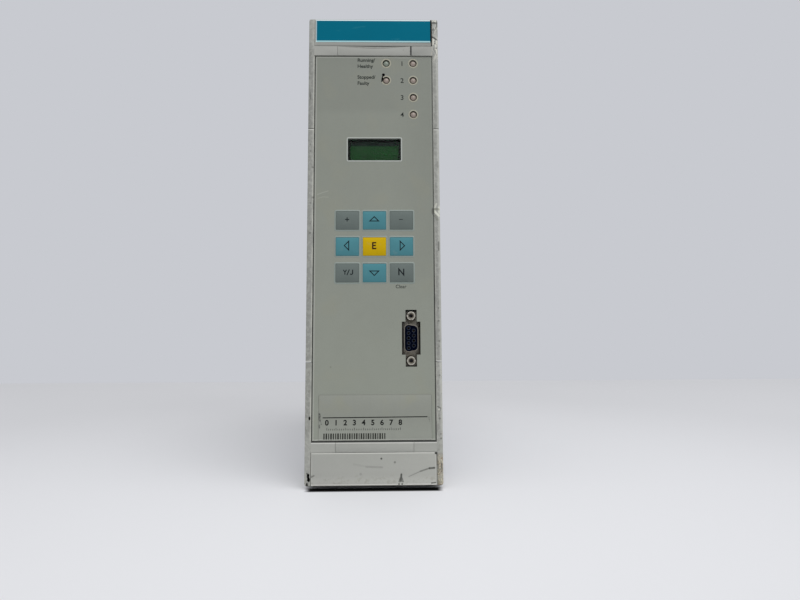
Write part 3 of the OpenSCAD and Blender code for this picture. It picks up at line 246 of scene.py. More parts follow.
SETTINGS = {
    "relay_paint": PaintSettings,
    "relay_print": PrintSettings,
    "relay_keys": KeySettings,
    "relay_lamps": LampSettings,
    "relay_display": DisplaySettings,
    "relay_ports": PortSettings,
    "relay_hardware": HardwareSettings,
    "relay_boards": BoardSettings,
    "relay_stage": StageSettings,
}


# Shader nodes


def maths(operation, reflected=False):
    """A method that puts one Math node on two values, the other way round if reflected."""

    def method(one, other):
        return one.wiring.math(operation, *((other, one) if reflected else (one, other)))

    return method


class Number:
    """A value socket that Python's arithmetic works on; each operation adds one Math node."""

    __array_ufunc__ = None  # Makes numpy's numbers leave the arithmetic to this class
    __add__ = __radd__ = maths("ADD")
    __sub__, __rsub__ = maths("SUBTRACT"), maths("SUBTRACT", reflected=True)
    __mul__ = __rmul__ = maths("MULTIPLY")
    __truediv__ = maths("DIVIDE")
    least, most = maths("MINIMUM"), maths("MAXIMUM")

    def __init__(self, wiring, socket):
        self.wiring = wiring
        self.socket = socket

    def __abs__(self):
        return self.wiring.math("ABSOLUTE", self)

    def remainder(self):
        """What is left of the value past the whole number below it."""
        return self.wiring.math("FRACT", self)

    def clamped(self):
        """The value held between 0 and 1."""
        return self.wiring.math("ADD", self, 0, clamp=True)

    def above(self, edge, soft):
        """A smooth step: 0 below the edge, 1 once the value is past it by the soft width."""
        made = self.wiring.node(
            "ShaderNodeMapRange",
            {"interpolation_type": "SMOOTHSTEP"},
            {"Value": self, "From Min": edge, "From Max": edge + soft},
        )
        return Number(self.wiring, made.outputs["Result"])

    def below(self, edge, soft):
        """The opposite smooth step: 1 below the edge, 0 once past it by the soft width."""
        return 1 - self.above(edge, soft)

    def between(self, low, high, soft):
        """1 from low to high, falling to 0 over the soft width outside."""
        return self.above(low - soft, soft) * self.below(high, soft)


class Wiring:
    """A node tree, and the one way its nodes are added."""

    def __init__(self, tree):
        self.tree = tree
        self.tree.nodes.clear()

    def node(self, kind, settings=None, sockets=None):
        """Adds a node of a type: its settings first, then the values or links of its sockets."""
        made = self.tree.nodes.new(kind)
        for key, value in (settings or {}).items():
            setattr(made, key, value)
        for key, value in (sockets or {}).items():
            source = getattr(value, "socket", value)
            if isinstance(source, bpy.types.NodeSocket):
                self.tree.links.new(source, made.inputs[key])
            elif made.inputs[key].type == "RGBA" and len(source) == 3:
                made.inputs[key].default_value = (*source, 1)
            else:
                made.inputs[key].default_value = source
        return made

    def math(self, operation, *terms, clamp=False):
        """One Math node on its terms."""
        made = self.node("ShaderNodeMath", {"operation": operation, "use_clamp": clamp}, dict(enumerate(terms)))
        return Number(self, made.outputs[0])

    def away(self, across, up):
        """How far off a point lies, from how far off it lies across and up."""
        return self.math("SQRT", across * across + up * up)


class Finish(Wiring):
    """One procedural material: a Principled shader, the place on the relay in millimetres, and the
    patterns that its colour, gloss and relief are mixed from."""

    def __init__(self, name, **sockets):
        self.material = bpy.data.materials.new(name)
        self.material.use_nodes = True
        super().__init__(self.material.node_tree)
        named = {key.replace("_", " "): value for key, value in sockets.items()}
        self.shader = self.node("ShaderNodeBsdfPrincipled", {}, named)
        self.node("ShaderNodeOutputMaterial", {}, {"Surface": self.shader.outputs[0]})
        here = self.node("ShaderNodeTexCoord").outputs["Object"]
        self.place = self.times(here, (1 / MM, 1 / MM, 1 / MM))
        self.x, self.y, self.z = self.parts(self.place)

    def parts(self, vector):
        """The three parts of a vector."""
        return [Number(self, s) for s in self.node("ShaderNodeSeparateXYZ", {}, {0: vector}).outputs]

    def times(self, vector, factors):
        """A vector or colour with each part multiplied by a factor of its own."""
        return self.node("ShaderNodeVectorMath", {"operation": "MULTIPLY"}, {0: vector, 1: factors}).outputs[0]

    def noise(self, size, detail=2.0, stretch=(1, 1, 1)):
        """Cloudy noise from 0 to 1 whose blotches are about that many millimetres across."""
        made = self.node(
            "ShaderNodeTexNoise",
            {},
            {"Vector": self.times(self.place, stretch), "Scale": 1 / size, "Detail": detail, "Roughness": 0.5},
        )
        return Number(self, made.outputs[0])

    def cells(self, size, output="Distance", feature="F1", stretch=(1, 1, 1), random=1.0):
        """Cells about that many millimetres across: the distance inside each, or its colour."""
        made = self.node(
            "ShaderNodeTexVoronoi",
            {"feature": feature},
            {"Vector": self.times(self.place, stretch), "Scale": 1 / size, "Randomness": random},
        )
        return made.outputs[output] if output == "Color" else Number(self, made.outputs[output])

    def blend(self, mask, under, over):
        """The colour under a mask where it is 0, and the one over it where it is 1."""
        return self.node("ShaderNodeMix", {"data_type": "RGBA"}, {0: mask, 6: under, 7: over}).outputs[2]

    def layered(self, colour, *layers):
        """A colour under layers: each is a mask and either a colour or its red, green and blue on screen."""
        for mask, *over in layers:
            colour = self.blend(mask, colour, linear(*over) if len(over) == 3 else over[0])
        return colour

    def shade(self, colour, factor):
        """A colour made darker or lighter by a factor."""
        grey = self.node("ShaderNodeCombineXYZ", {}, dict.fromkeys(range(3), factor)).outputs[0]
        return self.times(colour, grey)

    def clouded(self, colour):
        """A colour clouded over three sizes: broad patches, hand-sized smudges and fine grain."""
        broad, smudges, grain = 0.09, 0.06, 0.08
        cloud = self.noise(42, 3) * broad + self.noise(9, 3) * smudges + self.noise(0.55, 1) * grain
        return self.shade(colour, cloud + (1 - 0.5 * (broad + smudges + grain)))

    def stroke(self, start, end, half_width, soft=0.25):
        """A stroke on the front: 1 within half its width of the straight line between two points."""
        run = np.subtract(end, start)
        along = ((self.x - start[0]) * run[0] + (self.z - start[1]) * run[1]) / (run @ run)
        along = along.clamped()
        off_x = self.x - (along * run[0] + start[0])
        off_z = self.z - (along * run[1] + start[1])
        return self.away(off_x, off_z).below(half_width, soft)

    def spot(self, centre, radius, soft=0.25):
        """A round or oval spot on the front, given its radius across and up."""
        across, up = np.broadcast_to(radius, 2)
        off = self.away((self.x - centre[0]) / across, (self.z - centre[1]) / up)
        return off.below(1, soft / min(across, up))

    def any_of(self, masks):
        """The largest of several masks."""
        return functools.reduce(Number.most, masks)

    def marks(self, strokes, spots=()):
        """Strokes (start, end, half width, strength) and spots (place, radius, strength) as one mask."""
        masks = [self.stroke(start, end, half, 0.3) * strength for start, end, half, strength in strokes]
        masks += [self.spot(centre, radius, 0.3) * strength for centre, radius, strength in spots]
        return self.any_of(masks)

    def relief(self, height, depth, under=None):
        """A bump whose height runs over that many millimetres, on top of another bump."""
        sockets = {"Height": height, "Strength": 1.0, "Distance": depth * MM}
        if under is not None:
            sockets["Normal"] = under
        return self.node("ShaderNodeBump", {}, sockets).outputs[0]

    def use(self, colour, **others):
        """Links the colour and whatever else varies to the shader, and gives back the material."""
        for key, value in {"Base Color": colour, **others}.items():
            self.tree.links.new(getattr(value, "socket", value), self.shader.inputs[key.title()])
        return self.material


# Shapes


def faces_of(rows, columns, ring):
    """Quads over a grid of points whose rows go round a profile, and a cap on both ends of an open path."""
    j = np.arange(columns if ring else columns - 1)
    i, j = (a.ravel() for a in np.meshgrid(np.arange(rows), j, indexing="ij"))
    nexti, nextj = (i + 1) % rows, (j + 1) % columns
    row, nextrow = i * columns, nexti * columns
    faces = np.stack([row + j, nextrow + j, nextrow + nextj, row + nextj], axis=1).tolist()
    if not ring:
        start = np.arange(rows) * columns
        faces += [start[::-1].tolist(), (start + columns - 1).tolist()]
    return faces


def outward(points, faces):
    """Turns a closed shape's faces round where their signed volume comes out negative."""
    volume = 0.0
    for face in faces:
        a, b, c = points[face[0]], points[face[1:-1]], points[face[2:]]
        volume += float(np.einsum("j,ij->", a, np.cross(b, c)))
    return faces if volume > 0 else [face[::-1] for face in faces]


def solid(grid, ring=False):
    """Points and faces of one closed shape or of equal copies: a grid of rows round the profile and
    columns along the path, with any number of copies in front. A ring's path closes on itself."""
    grid = np.asarray(grid, float)
    rows, columns = grid.shape[-3:-1]
    shapes = grid.reshape(-1, rows * columns, 3)
    one = outward(shapes[0], faces_of(rows, columns, ring))
    step = rows * columns
    faces = [[v + copy * step for v in face] for copy in range(len(shapes)) for face in one]
    return shapes.reshape(-1, 3), faces


def merged(*shapes):
    """Several shapes' points and faces as one."""
    points, faces, count = [], [], 0
    for some, some_faces in shapes:
        points.append(some)
        faces += [[v + count for v in face] for face in some_faces]
        count += len(some)
    return np.concatenate(points), faces


def piece(name, shape, material, body=CASE, smooth=True):
    """Makes a piece of points and faces in millimetres, gives it its material, and lets it ride."""
    points, faces = shape
    mesh = bpy.data.meshes.new(name)
    mesh.from_pydata((points * MM).tolist(), [], faces)
    mesh.materials.append(material)
    made = bpy.data.objects.new(name, mesh)
    bpy.context.collection.objects.link(made)
    if smooth:
        mesh.shade_smooth()
        mesh.set_sharp_from_angle(angle=SHARP)
    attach(made, body)


def dress(material, *nodes, edge=0.0):
    """Gives CAD nodes a material and, where an edge width is named, welds their triangles and rounds
    the sharp edges by it."""
    for name in nodes:
        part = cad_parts[name]
        part.data.materials.clear()
        part.data.materials.append(material)
        if edge:
            weld = part.modifiers.new("Weld", "WELD")
            weld.merge_threshold = 0.002 * MM
            bevel = part.modifiers.new("Edges", "BEVEL")
            bevel.width = edge * MM
            bevel.segments = 2
            bevel.limit_method = "ANGLE"
            bevel.angle_limit = ROUNDED
            bevel.harden_normals = True
            part.data.shade_smooth()


def rounded_rectangle(width, height, radius, steps=4):
    """Points round a rectangle with rounded corners, and the outward direction at each: every corner is
    a quarter circle about its own centre."""
    turn = np.linspace(0, math.pi / 2, steps)
    angles = np.concatenate([turn + quarter * math.pi / 2 for quarter in range(4)])
    side = np.repeat([[1, 1], [-1, 1], [-1, -1], [1, -1]], steps, axis=0)
    out = np.stack([np.cos(angles), np.sin(angles)], axis=1)
    return side * [width / 2 - radius, height / 2 - radius] + out * radius, out


def circle(radius, steps=32):
    """Points round a circle, and the outward direction at each."""
    angle = np.linspace(0, 2 * math.pi, steps, endpoint=False)
    out = np.stack([np.cos(angle), np.sin(angle)], axis=1)
    return out * radius, out


def spread(places):
    """Places across and up, and off the surface where given, shaped to move copies of a grid."""
    places = np.array([(*place, 0)[:3] for place in places], float)
    return places[:, None, None]


def lifted(flat, heights):
    """Points across and up, given their heights off the surface."""
    return np.concatenate([flat, np.broadcast_to(heights, flat.shape[:-1])[..., None]], axis=-1)


def bead(outline, profile, places):
    """A profile carried round an outline: each point of the profile stands off the outline by its first
    part and off the surface by its second."""
    path, out = outline
    profile = np.asarray(profile, float)
    grid = lifted(path[None] + out[None] * profile[:, None, :1], profile[:, 1:])
    return solid(grid[None] + spread(places), ring=True)


def half_round(width, height, steps=7):
    """A half-round bead's profile: half an ellipse of that width and height, a little sunk."""
    angle = np.linspace(0, math.pi, steps)
    arc = np.stack([width / 2 + np.cos(angle) * width / 2, np.sin(angle) * height], axis=1)
    return np.concatenate([arc, [[0, FOOT], [width, FOOT]]])


def heaped(outline, levels, places):
    """A closed heap of outlines: each level shrinks the outline by its first part, a share, and stands
    off the surface by its second. The first and last outline are closed with flat caps."""
    levels = np.asarray(levels, float)
    grid = lifted(outline[:, None] * levels[None, :, :1], levels[:, 1])
    return solid(grid[None] + spread(places))


def turned(profile, places, steps=24):
    """A profile of radius and height turned round the line that stands off the surface."""
    return heaped(circle(1, steps)[0], profile, places)


def bevelled(width, height, thick, bevel, places, corner=0.0):
    """A block that stands on the surface, its upper edges bevelled and its corners rounded."""
    full, _ = rounded_rectangle(width, height, max(corner, bevel), 3)
    top, _ = rounded_rectangle(width - 2 * bevel, height - 2 * bevel, max(corner, bevel) * 0.8, 3)
    grid = lifted(np.stack([full, full, top], axis=1), [0, thick - bevel, thick])
    return solid(grid[None] + spread(places))


def threaded(radius, depth, pitch, low, high, places):
    """A screw thread round a rod: the radius swells by the thread's depth as a triangle wave of the
    height over the pitch, less the turn round the rod, and dies away at both ends."""
    around, per_turn = 24, 8
    turn = np.linspace(0, 1, around, endpoint=False)[:, None]
    height = np.linspace(low, high, int((high - low) / pitch * per_turn) + 1)[None]
    wave = np.abs(((height / pitch - turn) % 1) * 2 - 1)
    ends = np.clip(np.minimum(height - low, high - height) / pitch, 0, 1)
    r = radius + depth * wave * ends
    flat = np.stack([r * np.cos(turn * 2 * math.pi), r * np.sin(turn * 2 * math.pi)], axis=-1)
    return solid(lifted(flat, height)[None] + spread(places))


def ragged(places, radii):
    """Thin ragged flakes: each outline's radius swells and shrinks by the sum of two sine waves of the
    turn round it, one of five lobes and one of three, shifted from flake to flake."""
    turn = np.linspace(0, 2 * math.pi, 28, endpoint=False)[None]
    shift = np.arange(len(places))[:, None] * 1.7
    swell = 1 + 0.16 * np.sin(5 * turn + shift) + 0.1 * np.sin(3 * turn + 2.3 * shift)
    across, up = np.asarray(radii, float).T[:, :, None]
    outlines = np.stack([across * swell * np.cos(turn), up * swell * np.sin(turn)], axis=-1)
    levels = [(1, FOOT), (1, 0.02), (0.6, 0.03)]
    return merged(*(heaped(outline, levels, [place]) for outline, place in zip(outlines, places)))


def stroke_sides(corners, width, closed):
    """The two sides of a line of straight runs, each corner mitred: a corner moves out along the
    bisector by half the width over the cosine of half its bend."""
    corners = np.asarray(corners, float)
    ahead = np.roll(corners, -1, axis=0) - corners
    if not closed:
        ahead[-1] = ahead[-2]
    ahead /= np.linalg.norm(ahead, axis=1, keepdims=True)
    behind = np.roll(ahead, 1, axis=0)
    if not closed:
        behind[0] = ahead[0]
    side_ahead, side_behind = (np.stack([-run[:, 1], run[:, 0]], axis=1) for run in (ahead, behind))
    mitre = side_ahead + side_behind
    mitre /= np.einsum("ij,ij->i", mitre, side_ahead)[:, None]
    return corners + mitre * width / 2, corners - mitre * width / 2


def line(corners, width, low, high, closed=False):
    """A flat raised line through its corners, between two heights off the surface."""
    left, right = stroke_sides(corners, width, closed)
    grid = lifted(np.stack([left, left, right, right]), [[low], [high], [high], [low]])
    return solid(grid, ring=closed)


def corners_of(mesh):
    """A mesh's points, one row each."""
    flat = np.zeros(len(mesh.vertices) * 3)
    mesh.vertices.foreach_get("co", flat)
    return flat.reshape(-1, 3)


def lettering(text, height, across, up, high, bold=0.0, align="CENTER"):
    """A word set in the built-in face, standing between two heights off the surface, with its foot at
    one height up and its middle, left or right end at one place across."""
    curve = bpy.data.curves.new("word", "FONT")
    curve.body, curve.align_x = text, align
    curve.extrude, curve.offset = 0.5, bold
    holder = bpy.data.objects.new("word", curve)
    bpy.context.collection.objects.link(holder)
    flat = bpy.data.meshes.new_from_object(holder.evaluated_get(bpy.context.evaluated_depsgraph_get()))
    points = corners_of(flat)
    faces = [list(p.vertices) for p in flat.polygons]
    bpy.data.objects.remove(holder)
    bpy.data.curves.remove(curve)
    bpy.data.meshes.remove(flat)
    scale = height / CAPITAL
    lift = INK_FOOT + (points[:, 2] + 0.5) * (high - INK_FOOT)
    return np.stack([across + points[:, 0] * scale, up + points[:, 1] * scale, lift], axis=1), faces


def facing(across, off):
    """A way of standing shapes on faces that look in one direction: a shape's points lie across, up and
    off the face, and up is Z."""

    def stand(shape, level):
        points, faces = shape
        return points @ np.array([across, (0, 0, 1), off]) + level * np.abs(off), faces

    return stand


on_front = facing((1, 0, 0), (0, -1, 0))
on_rear = facing((-1, 0, 0), (0, 1, 0))
on_right = facing((0, 1, 0), (1, 0, 0))
on_left = facing((0, -1, 0), (-1, 0, 0))


@functools.cache
def bodies_of(node):
    """The boxes of a CAD node's separate bodies, in millimetres: corners at one place count as one, and
    each face hands its lowest label to its corners until no label changes."""
    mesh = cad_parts[node].data
    corners = np.zeros(len(mesh.loops), int)
    mesh.loops.foreach_get("vertex_index", corners)
    points, same = np.unique(np.round(corners_of(mesh) / MM, 2), axis=0, return_inverse=True)
    faces = same.reshape(-1)[corners].reshape(-1, 3)
    label, before = np.arange(len(points)), None
    while before is None or (label != before).any():
        before = label.copy()
        np.minimum.at(label, faces, label[faces].min(axis=1, keepdims=True))
        label = label[label]
    bodies = (points[label == one] for one in np.unique(label))
    return [(body.min(axis=0), body.max(axis=0)) for body in bodies]


def middles(node):
    """The middles of a CAD node's separate bodies."""
    return [(low + high) / 2 for low, high in bodies_of(node)]


def lamp_places():
    """Where the lamps stand on the front."""
    return [(x, z) for x, _, z in middles("status_leds") + middles("service_led")]


# Marks of use on the front, placed across and up. A stroke is its start, end, half width and strength; a
# spot is its place, its radius or its radii across and up, and its strength.
CAP_STROKES = (
    ((18.8, -128.2), (25.0, -125.5), 0.15, 0.35), ((25.0, -125.5), (30.2, -123.8), 0.25, 0.55),
    ((30.0, -123.9), (32.6, -123.7), 0.4, 0.9), ((31.1, -131.7), (33.2, -131.5), 0.2, 0.9),
    ((-11.0, -121.4), (-4.2, -122.8), 0.35, 0.08), ((-4.2, -122.8), (4.4, -123.2), 0.4, 0.2),
    ((-34.3, -128.3), (-32.3, -127.3), 0.25, 0.5), ((14.8, -127.0), (14.5, -130.6), 0.35, 0.8),
    ((14.8, -128.6), (15.6, -130.7), 0.35, 0.7), ((14.6, -128.6), (13.7, -130.7), 0.35, 0.7),
)
CAP_SPOTS = (
    ((4.0, -118.6), 0.38, 0.9), ((11.3, -120.6), 0.45, 0.55), ((13.5, -132.1), 0.35, 0.8),
    ((15.2, -132.1), 0.35, 0.8), ((-7.1, -126.7), 0.6, 0.2), ((33.6, -115.8), 0.55, 1.0),
)
# Chips in the rails' paint, down to what lies under it.
RAIL_CHIPS = (
    ((-35.5, -127.6), (0.55, 1.0), 1.0), ((-35.1, -129.4), (0.65, 1.0), 1.0),
    ((-36.0, -126.2), (0.3, 0.35), 0.8), ((-35.9, -132.0), (0.5, 0.9), 0.6),
    ((-35.0, -96.9), (0.4, 0.75), 0.95), ((35.6, 130.8), (1.1, 0.4), 0.85), ((34.9, 126.6), (0.45, 0.7), 0.6),
)
# Strokes in the rails' paint; the last two are painted shade in the latch's right seam and in the gap beside
# the lower cap.
RAIL_STROKES = (
    ((34.3, 122.1), (36.6, 120.6), 0.28, 0.9), ((36.6, 128.2), (34.8, 124.6), 0.15, 0.5),
    ((35.2, 114.8), (36.6, 110.8), 0.22, 0.35), ((34.9, -91.0), (36.6, -91.9), 0.22, 0.55),
    ((36.6, -91.9), (36.1, -93.2), 0.18, 0.45), ((36.5, -121.5), (36.5, -125.5), 0.25, 0.45),
    ((34.7, -122.0), (34.8, -124.0), 0.25, 0.4), ((-36.4, 88.0), (-36.2, 84.0), 0.12, 0.4),
    ((21.7, 111.2), (21.7, 116.6), 0.3, 1.0), ((33.95, -116.0), (33.9, -122.0), 0.25, 0.9),
)
# Small pits and rubs in the rails' paint, only as dark as dirt.
RAIL_PITS = (
    ((-34.63, 43.7), 0.4, 0.5), ((-36.07, 57.2), 0.4, 0.45), ((-35.91, 53.3), 0.35, 0.4),
    ((-34.56, 26.2), 0.4, 0.5), ((-35.6, 22.9), 0.4, 0.45), ((-35.59, 11.0), 0.35, 0.4),
    ((-35.76, 5.7), 0.4, 0.5), ((35.9, -36.9), 0.4, 0.5), ((36.0, -44.0), 0.4, 0.5), ((36.2, -55.2), 0.4, 0.45),
    ((36.1, -58.1), 0.35, 0.45), ((36.2, -74.0), 0.4, 0.5), ((35.9, -97.4), 0.45, 0.6),
    ((36.5, -105.7), 0.35, 0.5), ((36.5, -108.1), 0.4, 0.6), ((34.8, -127.0), 0.45, 0.7),
)
RAIL_RUBS = (((36.5, 47.0), (36.5, 43.5), 0.25, 0.3), ((36.5, 0.4), (36.5, -4.2), 0.3, 0.6))
# The dent in the right rail: enamel broken to its pale ground, and painted shade in the hollow under it.
DENT_GROUND = (
    (((34.2, 18.4), (36.9, 15.5), 0.45, 1.0), ((34.5, 20.0), (35.5, 22.4), 0.4, 0.6)),
    (((37.1, 18.8), (0.5, 1.8), 0.9), ((35.7, -92.6), 0.4, 0.7)),
)
DENT_SHADE = (
    (((34.9, 19.4), (36.6, 19.2), 0.5, 0.6), ((34.8, 15.4), (36.2, 13.2), 0.5, 0.45)),
    (((33.9, 18.2), (0.3, 1.4), 0.8),),
)
FILM_RUBS = (
    ((-31.8, 28.0), (-29.0, 29.2), 0.12, 0.35), ((-29.0, 29.2), (-25.9, 30.1), 0.12, 0.35),
    ((-31.5, 25.8), (-28.9, 26.7), 0.12, 0.25), ((-28.9, 26.7), (-25.8, 26.5), 0.12, 0.25),
    ((-29.6, -86.0), (-30.2, -92.5), 0.2, 0.4),
)
FILM_DOTS = (((-23.8, -69.2), 0.35, 0.25), ((33.3, 18.3), (0.35, 1.4), 0.7))
LABEL_STROKES = (
    ((-29.7, -94.6), (-29.4, -98.4), 0.35, 0.85), ((-29.3, -98.4), (-28.6, -100.2), 0.2, 0.6),
    ((-29.7, -100.6), (-29.6, -102.0), 0.25, 0.7), ((30.0, -96.6), (30.4, -99.0), 0.14, 0.35),
)
LABEL_SPOTS = (((-29.6, -96.4), (0.5, 1.6), 0.7),)
# Flakes of paint that stand up as shapes: places, then radii across and up.
FLAKES = ((-35.35, -127.3), (-35.2, -129.3), (-36.1, -132.0), (-35.0, -96.9))
FLAKE_RADII = ((0.6, 1.15), (0.75, 1.0), (0.35, 0.8), (0.4, 0.75))
RAIL = 34.2  # How far from the middle the rails' faces start
SEAM = 66.5  # How far above and below the middle the rails are parted
ENAMEL = {"Roughness": 0.45, "Coat_Weight": 0.12, "Coat_Roughness": 0.35}
GONE = (5, 5, 4)  # What shows where film or paint has come off, 0 to 255 on screen


# Finishes


def frame_paint(paint):
    """Grey stove enamel on the front frame: orange peel, worn edges, chips and rust at a corner, with painted
    highlights along its edges and seams, painted shade in its gaps, and its lower band lightened towards the
    foot as painted light.
    """
    finish = Finish("frame_paint", **ENAMEL)
    noise, wide, up = finish.noise, abs(finish.x), finish.z
    (_, face, _), (right, _, head) = box("frame_top")
    (_, _, panel_foot), (panel_right, _, _) = box("front_panel")
    jitter = noise(2.2, 4) - 0.5
    off_side, off_end, off_face = right - wide, head - abs(up), finish.y - face
    inner, foot, seam = abs(wide - panel_right), panel_foot - up, abs(up) - SEAM
    front, near, on_rail = off_face.below(1.0, 0.3), off_face.below(1.5, 5.0), wide.above(RAIL, 0.3)
    rail, rails = on_rail * front, on_rail * near
    # Painted highlight: the right rail's outer edge is lightened below; the rails' faces are darker along their
    # middle.
    outer = off_side.below(0.4, 1.4) * finish.x.above(0, 1)
    along = rail * up.between(-104, 112, 8)
    colour = finish.shade(finish.clouded(paint.frame_tone), 1 - along * (0.18 - outer * 0.45))
    edge = off_side.most(off_face).least(off_end.most(off_face)).least(off_side.most(off_end))
    edge = edge.least(inner.most(off_face))
    worn = (edge - jitter * 2.6).below(-0.15, 0.5) * noise(14, 2).above(0.44, 0.2) * paint.wear
    nick = finish.cells(4.5, stretch=(1, 1, 0.6)).below(0.06, 0.05) * noise(22, 1).above(0.54, 0.12)
    # Painted highlight along the rails' inner chamfers, stronger on the left rail.
    lit = inner.below(0.7, 0.3) * front * noise(9, 2).above(0.3, 0.3)
    lit = lit * up.between(-108, 109, 2) * (0.35 + finish.x.below(0, 1) * 0.25)
    colour = finish.layered(
        colour,
        (worn, paint.bare_tone),
        (nick * 0.5, paint.dirt_tone),
        (rails * noise(1.5, 4).above(0.56, 0.1) * 0.22, 92, 92, 80),
        (rails * noise(2.1, 4).below(0.42, 0.1) * 0.2, 196, 198, 190),
        (lit, 190, 190, 180),
        # Painted highlight beside each seam in the rails.
        (seam.between(-0.75, -0.1, 0.1) * rail * 0.6, 208, 208, 202),
        (seam.between(0.05, 0.3, 0.1) * rail * 0.5, 60, 62, 56),
    )
    across = wide.below(34.0, 0.2) * front * up.below(0, 1)
    # Painted light: the lower band is lightened towards its foot.
    colour = finish.shade(colour, 1 + foot.between(0.3, 6.2, 0.3) * across * (0.03 + foot * 0.018))
    corner = up.below(-119, 4.0) * finish.x.above(RAIL, 0.5) * near
    top = finish.x.above(34.0, 0.3) * up.above(103, 12) * near
    gone = finish.marks(RAIL_STROKES, RAIL_CHIPS) * front
    gone = (gone + jitter * 0.9 * gone).clamped()
    colour = finish.layered(
        colour,
        # Painted highlight along the lower band's upper edge, then painted shade in the gap under the film's
        # foot.
        (foot.between(1.05, 1.45, 0.2) * across * 0.55, 214, 214, 208),
        (foot.between(0.22, 0.82, 0.1) * across * 0.95, 24, 26, 22),
        (finish.marks(*DENT_GROUND) * front * 0.9, 210, 211, 198),
        (finish.marks(*DENT_SHADE) * front, 112, 114, 98),
        (finish.marks(RAIL_RUBS, RAIL_PITS) * front, paint.dirt_tone),
        (corner * (0.15 + noise(3, 3) * 0.6), 150, 142, 118),
        (corner * noise(1.6, 4).above(0.5, 0.14) * 0.6, paint.rust_tone),
        (corner * noise(0.9, 3).above(0.52, 0.08) * 0.8, 198, 190, 166),
        (corner * noise(1.2, 3, (1, 1, 0.5)).below(0.42, 0.06) * 0.55, 88, 82, 64),
        (top * noise(1.3, 4, (1, 1, 0.45)).above(0.52, 0.08) * 0.8, 212, 210, 198),
        (top * noise(1.7, 3, (1, 1, 0.5)).below(0.34, 0.05) * 0.9, paint.dirt_tone),
        (gone, 20, 19, 17),
    )
    normal = finish.relief(1 - gone.most(worn), 0.06, finish.relief(noise(0.9, 2), 0.018))
    return finish.use(colour, roughness=0.42 + noise(6, 3) * 0.14 + worn * 0.1, normal=normal)


def bare_enamel(paint):
    """The frame's enamel where no hand reaches: clouded, and dusty in patches."""
    finish = Finish("latch_enamel", Roughness=0.5)
    dust = finish.noise(3, 3).above(0.5, 0.2) * 0.3
    colour = finish.layered(finish.clouded(paint.frame_tone), (dust, 120, 118, 108))
    return finish.use(colour, roughness=0.45 + dust * 0.3)


def cap_paint(paint):
    """The caps' enamel, a little lighter, with the scratches, dots and scuffs of handling, darker under the
    strip, with painted light: the bottom cap lightened towards its foot, painted highlights along its edges,
    and painted shade at its foot and in the gap at the upper cap's right.
    """
    finish = Finish("cap_paint", **ENAMEL)
    noise = finish.noise
    (_, face, foot), (right, _, head) = box("bottom_cap")
    jitter = noise(1.6, 4) - 0.5
    off_face, off_side = finish.y - face, right - abs(finish.x)
    off_foot, off_head = finish.z - foot, head - finish.z
    upper = finish.z.above(0, 1)
    lower = 1 - upper
    rim = off_side.least(off_foot.least(off_head) + upper * 500).most(off_face)
    under_strip = upper * finish.z.below(box("colour_strip")[0][2] - 0.1, 0.1) * off_face.below(2.5, 0.5)
    colour = finish.clouded(paint.cap_tone)
    # Painted light: the bottom cap is lightened towards its foot, here and in the shade below.
    colour = finish.layered(colour, (off_foot.below(1, 13) * lower * 0.3, 186, 186, 180))
    colour = finish.shade(colour, 1 - under_strip * 0.2 + off_foot.below(0.5, 6) * lower * 0.3)
    worn = (rim - jitter * 3.0).below(-0.7, 0.4) * noise(10, 2).above(0.5, 0.1) * paint.wear
    dirt = finish.marks(CAP_STROKES, CAP_SPOTS) * ((1 + jitter * 0.8) * off_face.below(0.4, 0.3))
    dirt = dirt.clamped()
    colour = finish.layered(
        colour,
        # Painted highlight along the caps' edges.
        (rim.below(0.25, 0.5) * 0.5, 190, 191, 184),
        (worn, paint.bare_tone),
        (off_foot.below(3.5, 4.0) * noise(1.8, 4).above(0.5, 0.2) * 0.35, 140, 137, 122),
        # Painted highlights along the bottom cap's top and foot edges, painted shade right at its foot, and
        # painted shade in the gap at the upper cap's right.
        (off_head.below(0.35, 0.3) * lower * 0.6, 214, 215, 208),
        (off_foot.between(0.4, 1.0, 0.1) * lower * 0.9, 230, 230, 224),
        (off_foot.below(0.05, 0.08) * lower, 6, 6, 6),
        (upper * finish.x.above(right - 0.5, 0.1) * off_face.below(0.15, 0.1) * 0.95, 12, 12, 12),
        (dirt, 48, 50, 42),
    )
    normal = finish.relief(1 - dirt.most(worn), 0.05, finish.relief(noise(0.9, 2), 0.016))
    return finish.use(colour, roughness=0.44 + noise(7, 3) * 0.14, normal=normal)


def strip_film(paint):
    """The coloured strip: a self-adhesive film with a pale line at its foot and fine scuffs, a painted
    highlight along its top and left edges, and painted shade at its right end.
    """
    finish = Finish("strip_colour", Roughness=0.5, Specular_IOR_Level=0.03)
    (left, _, foot), (right, _, head) = box("colour_strip")
    colour = finish.layered(
        finish.shade(paint.strip_tone, 0.9 + finish.noise(24, 3) * 0.14 + finish.noise(0.5, 1) * 0.08),
        (finish.z.below(foot + 0.75, 0.15) * 0.9, paint.strip_line),
        # Painted highlight along the top and left edges, and painted shade at the right end where it meets the
        # rail.
        (finish.z.above(head - 0.55, 0.1).most(finish.x.below(left + 0.4, 0.15) * 0.5), 226, 242, 244),
        (finish.x.above(right - 0.45, 0.1), 10, 12, 14),
        (finish.noise(3, 4, (0.25, 1, 1)).above(0.64, 0.05) * 0.14, 60, 140, 152),
    )
    normal = finish.relief(finish.noise(0.7, 2), 0.01)
    return finish.use(colour, roughness=0.36 + finish.noise(4, 3) * 0.16, normal=normal)


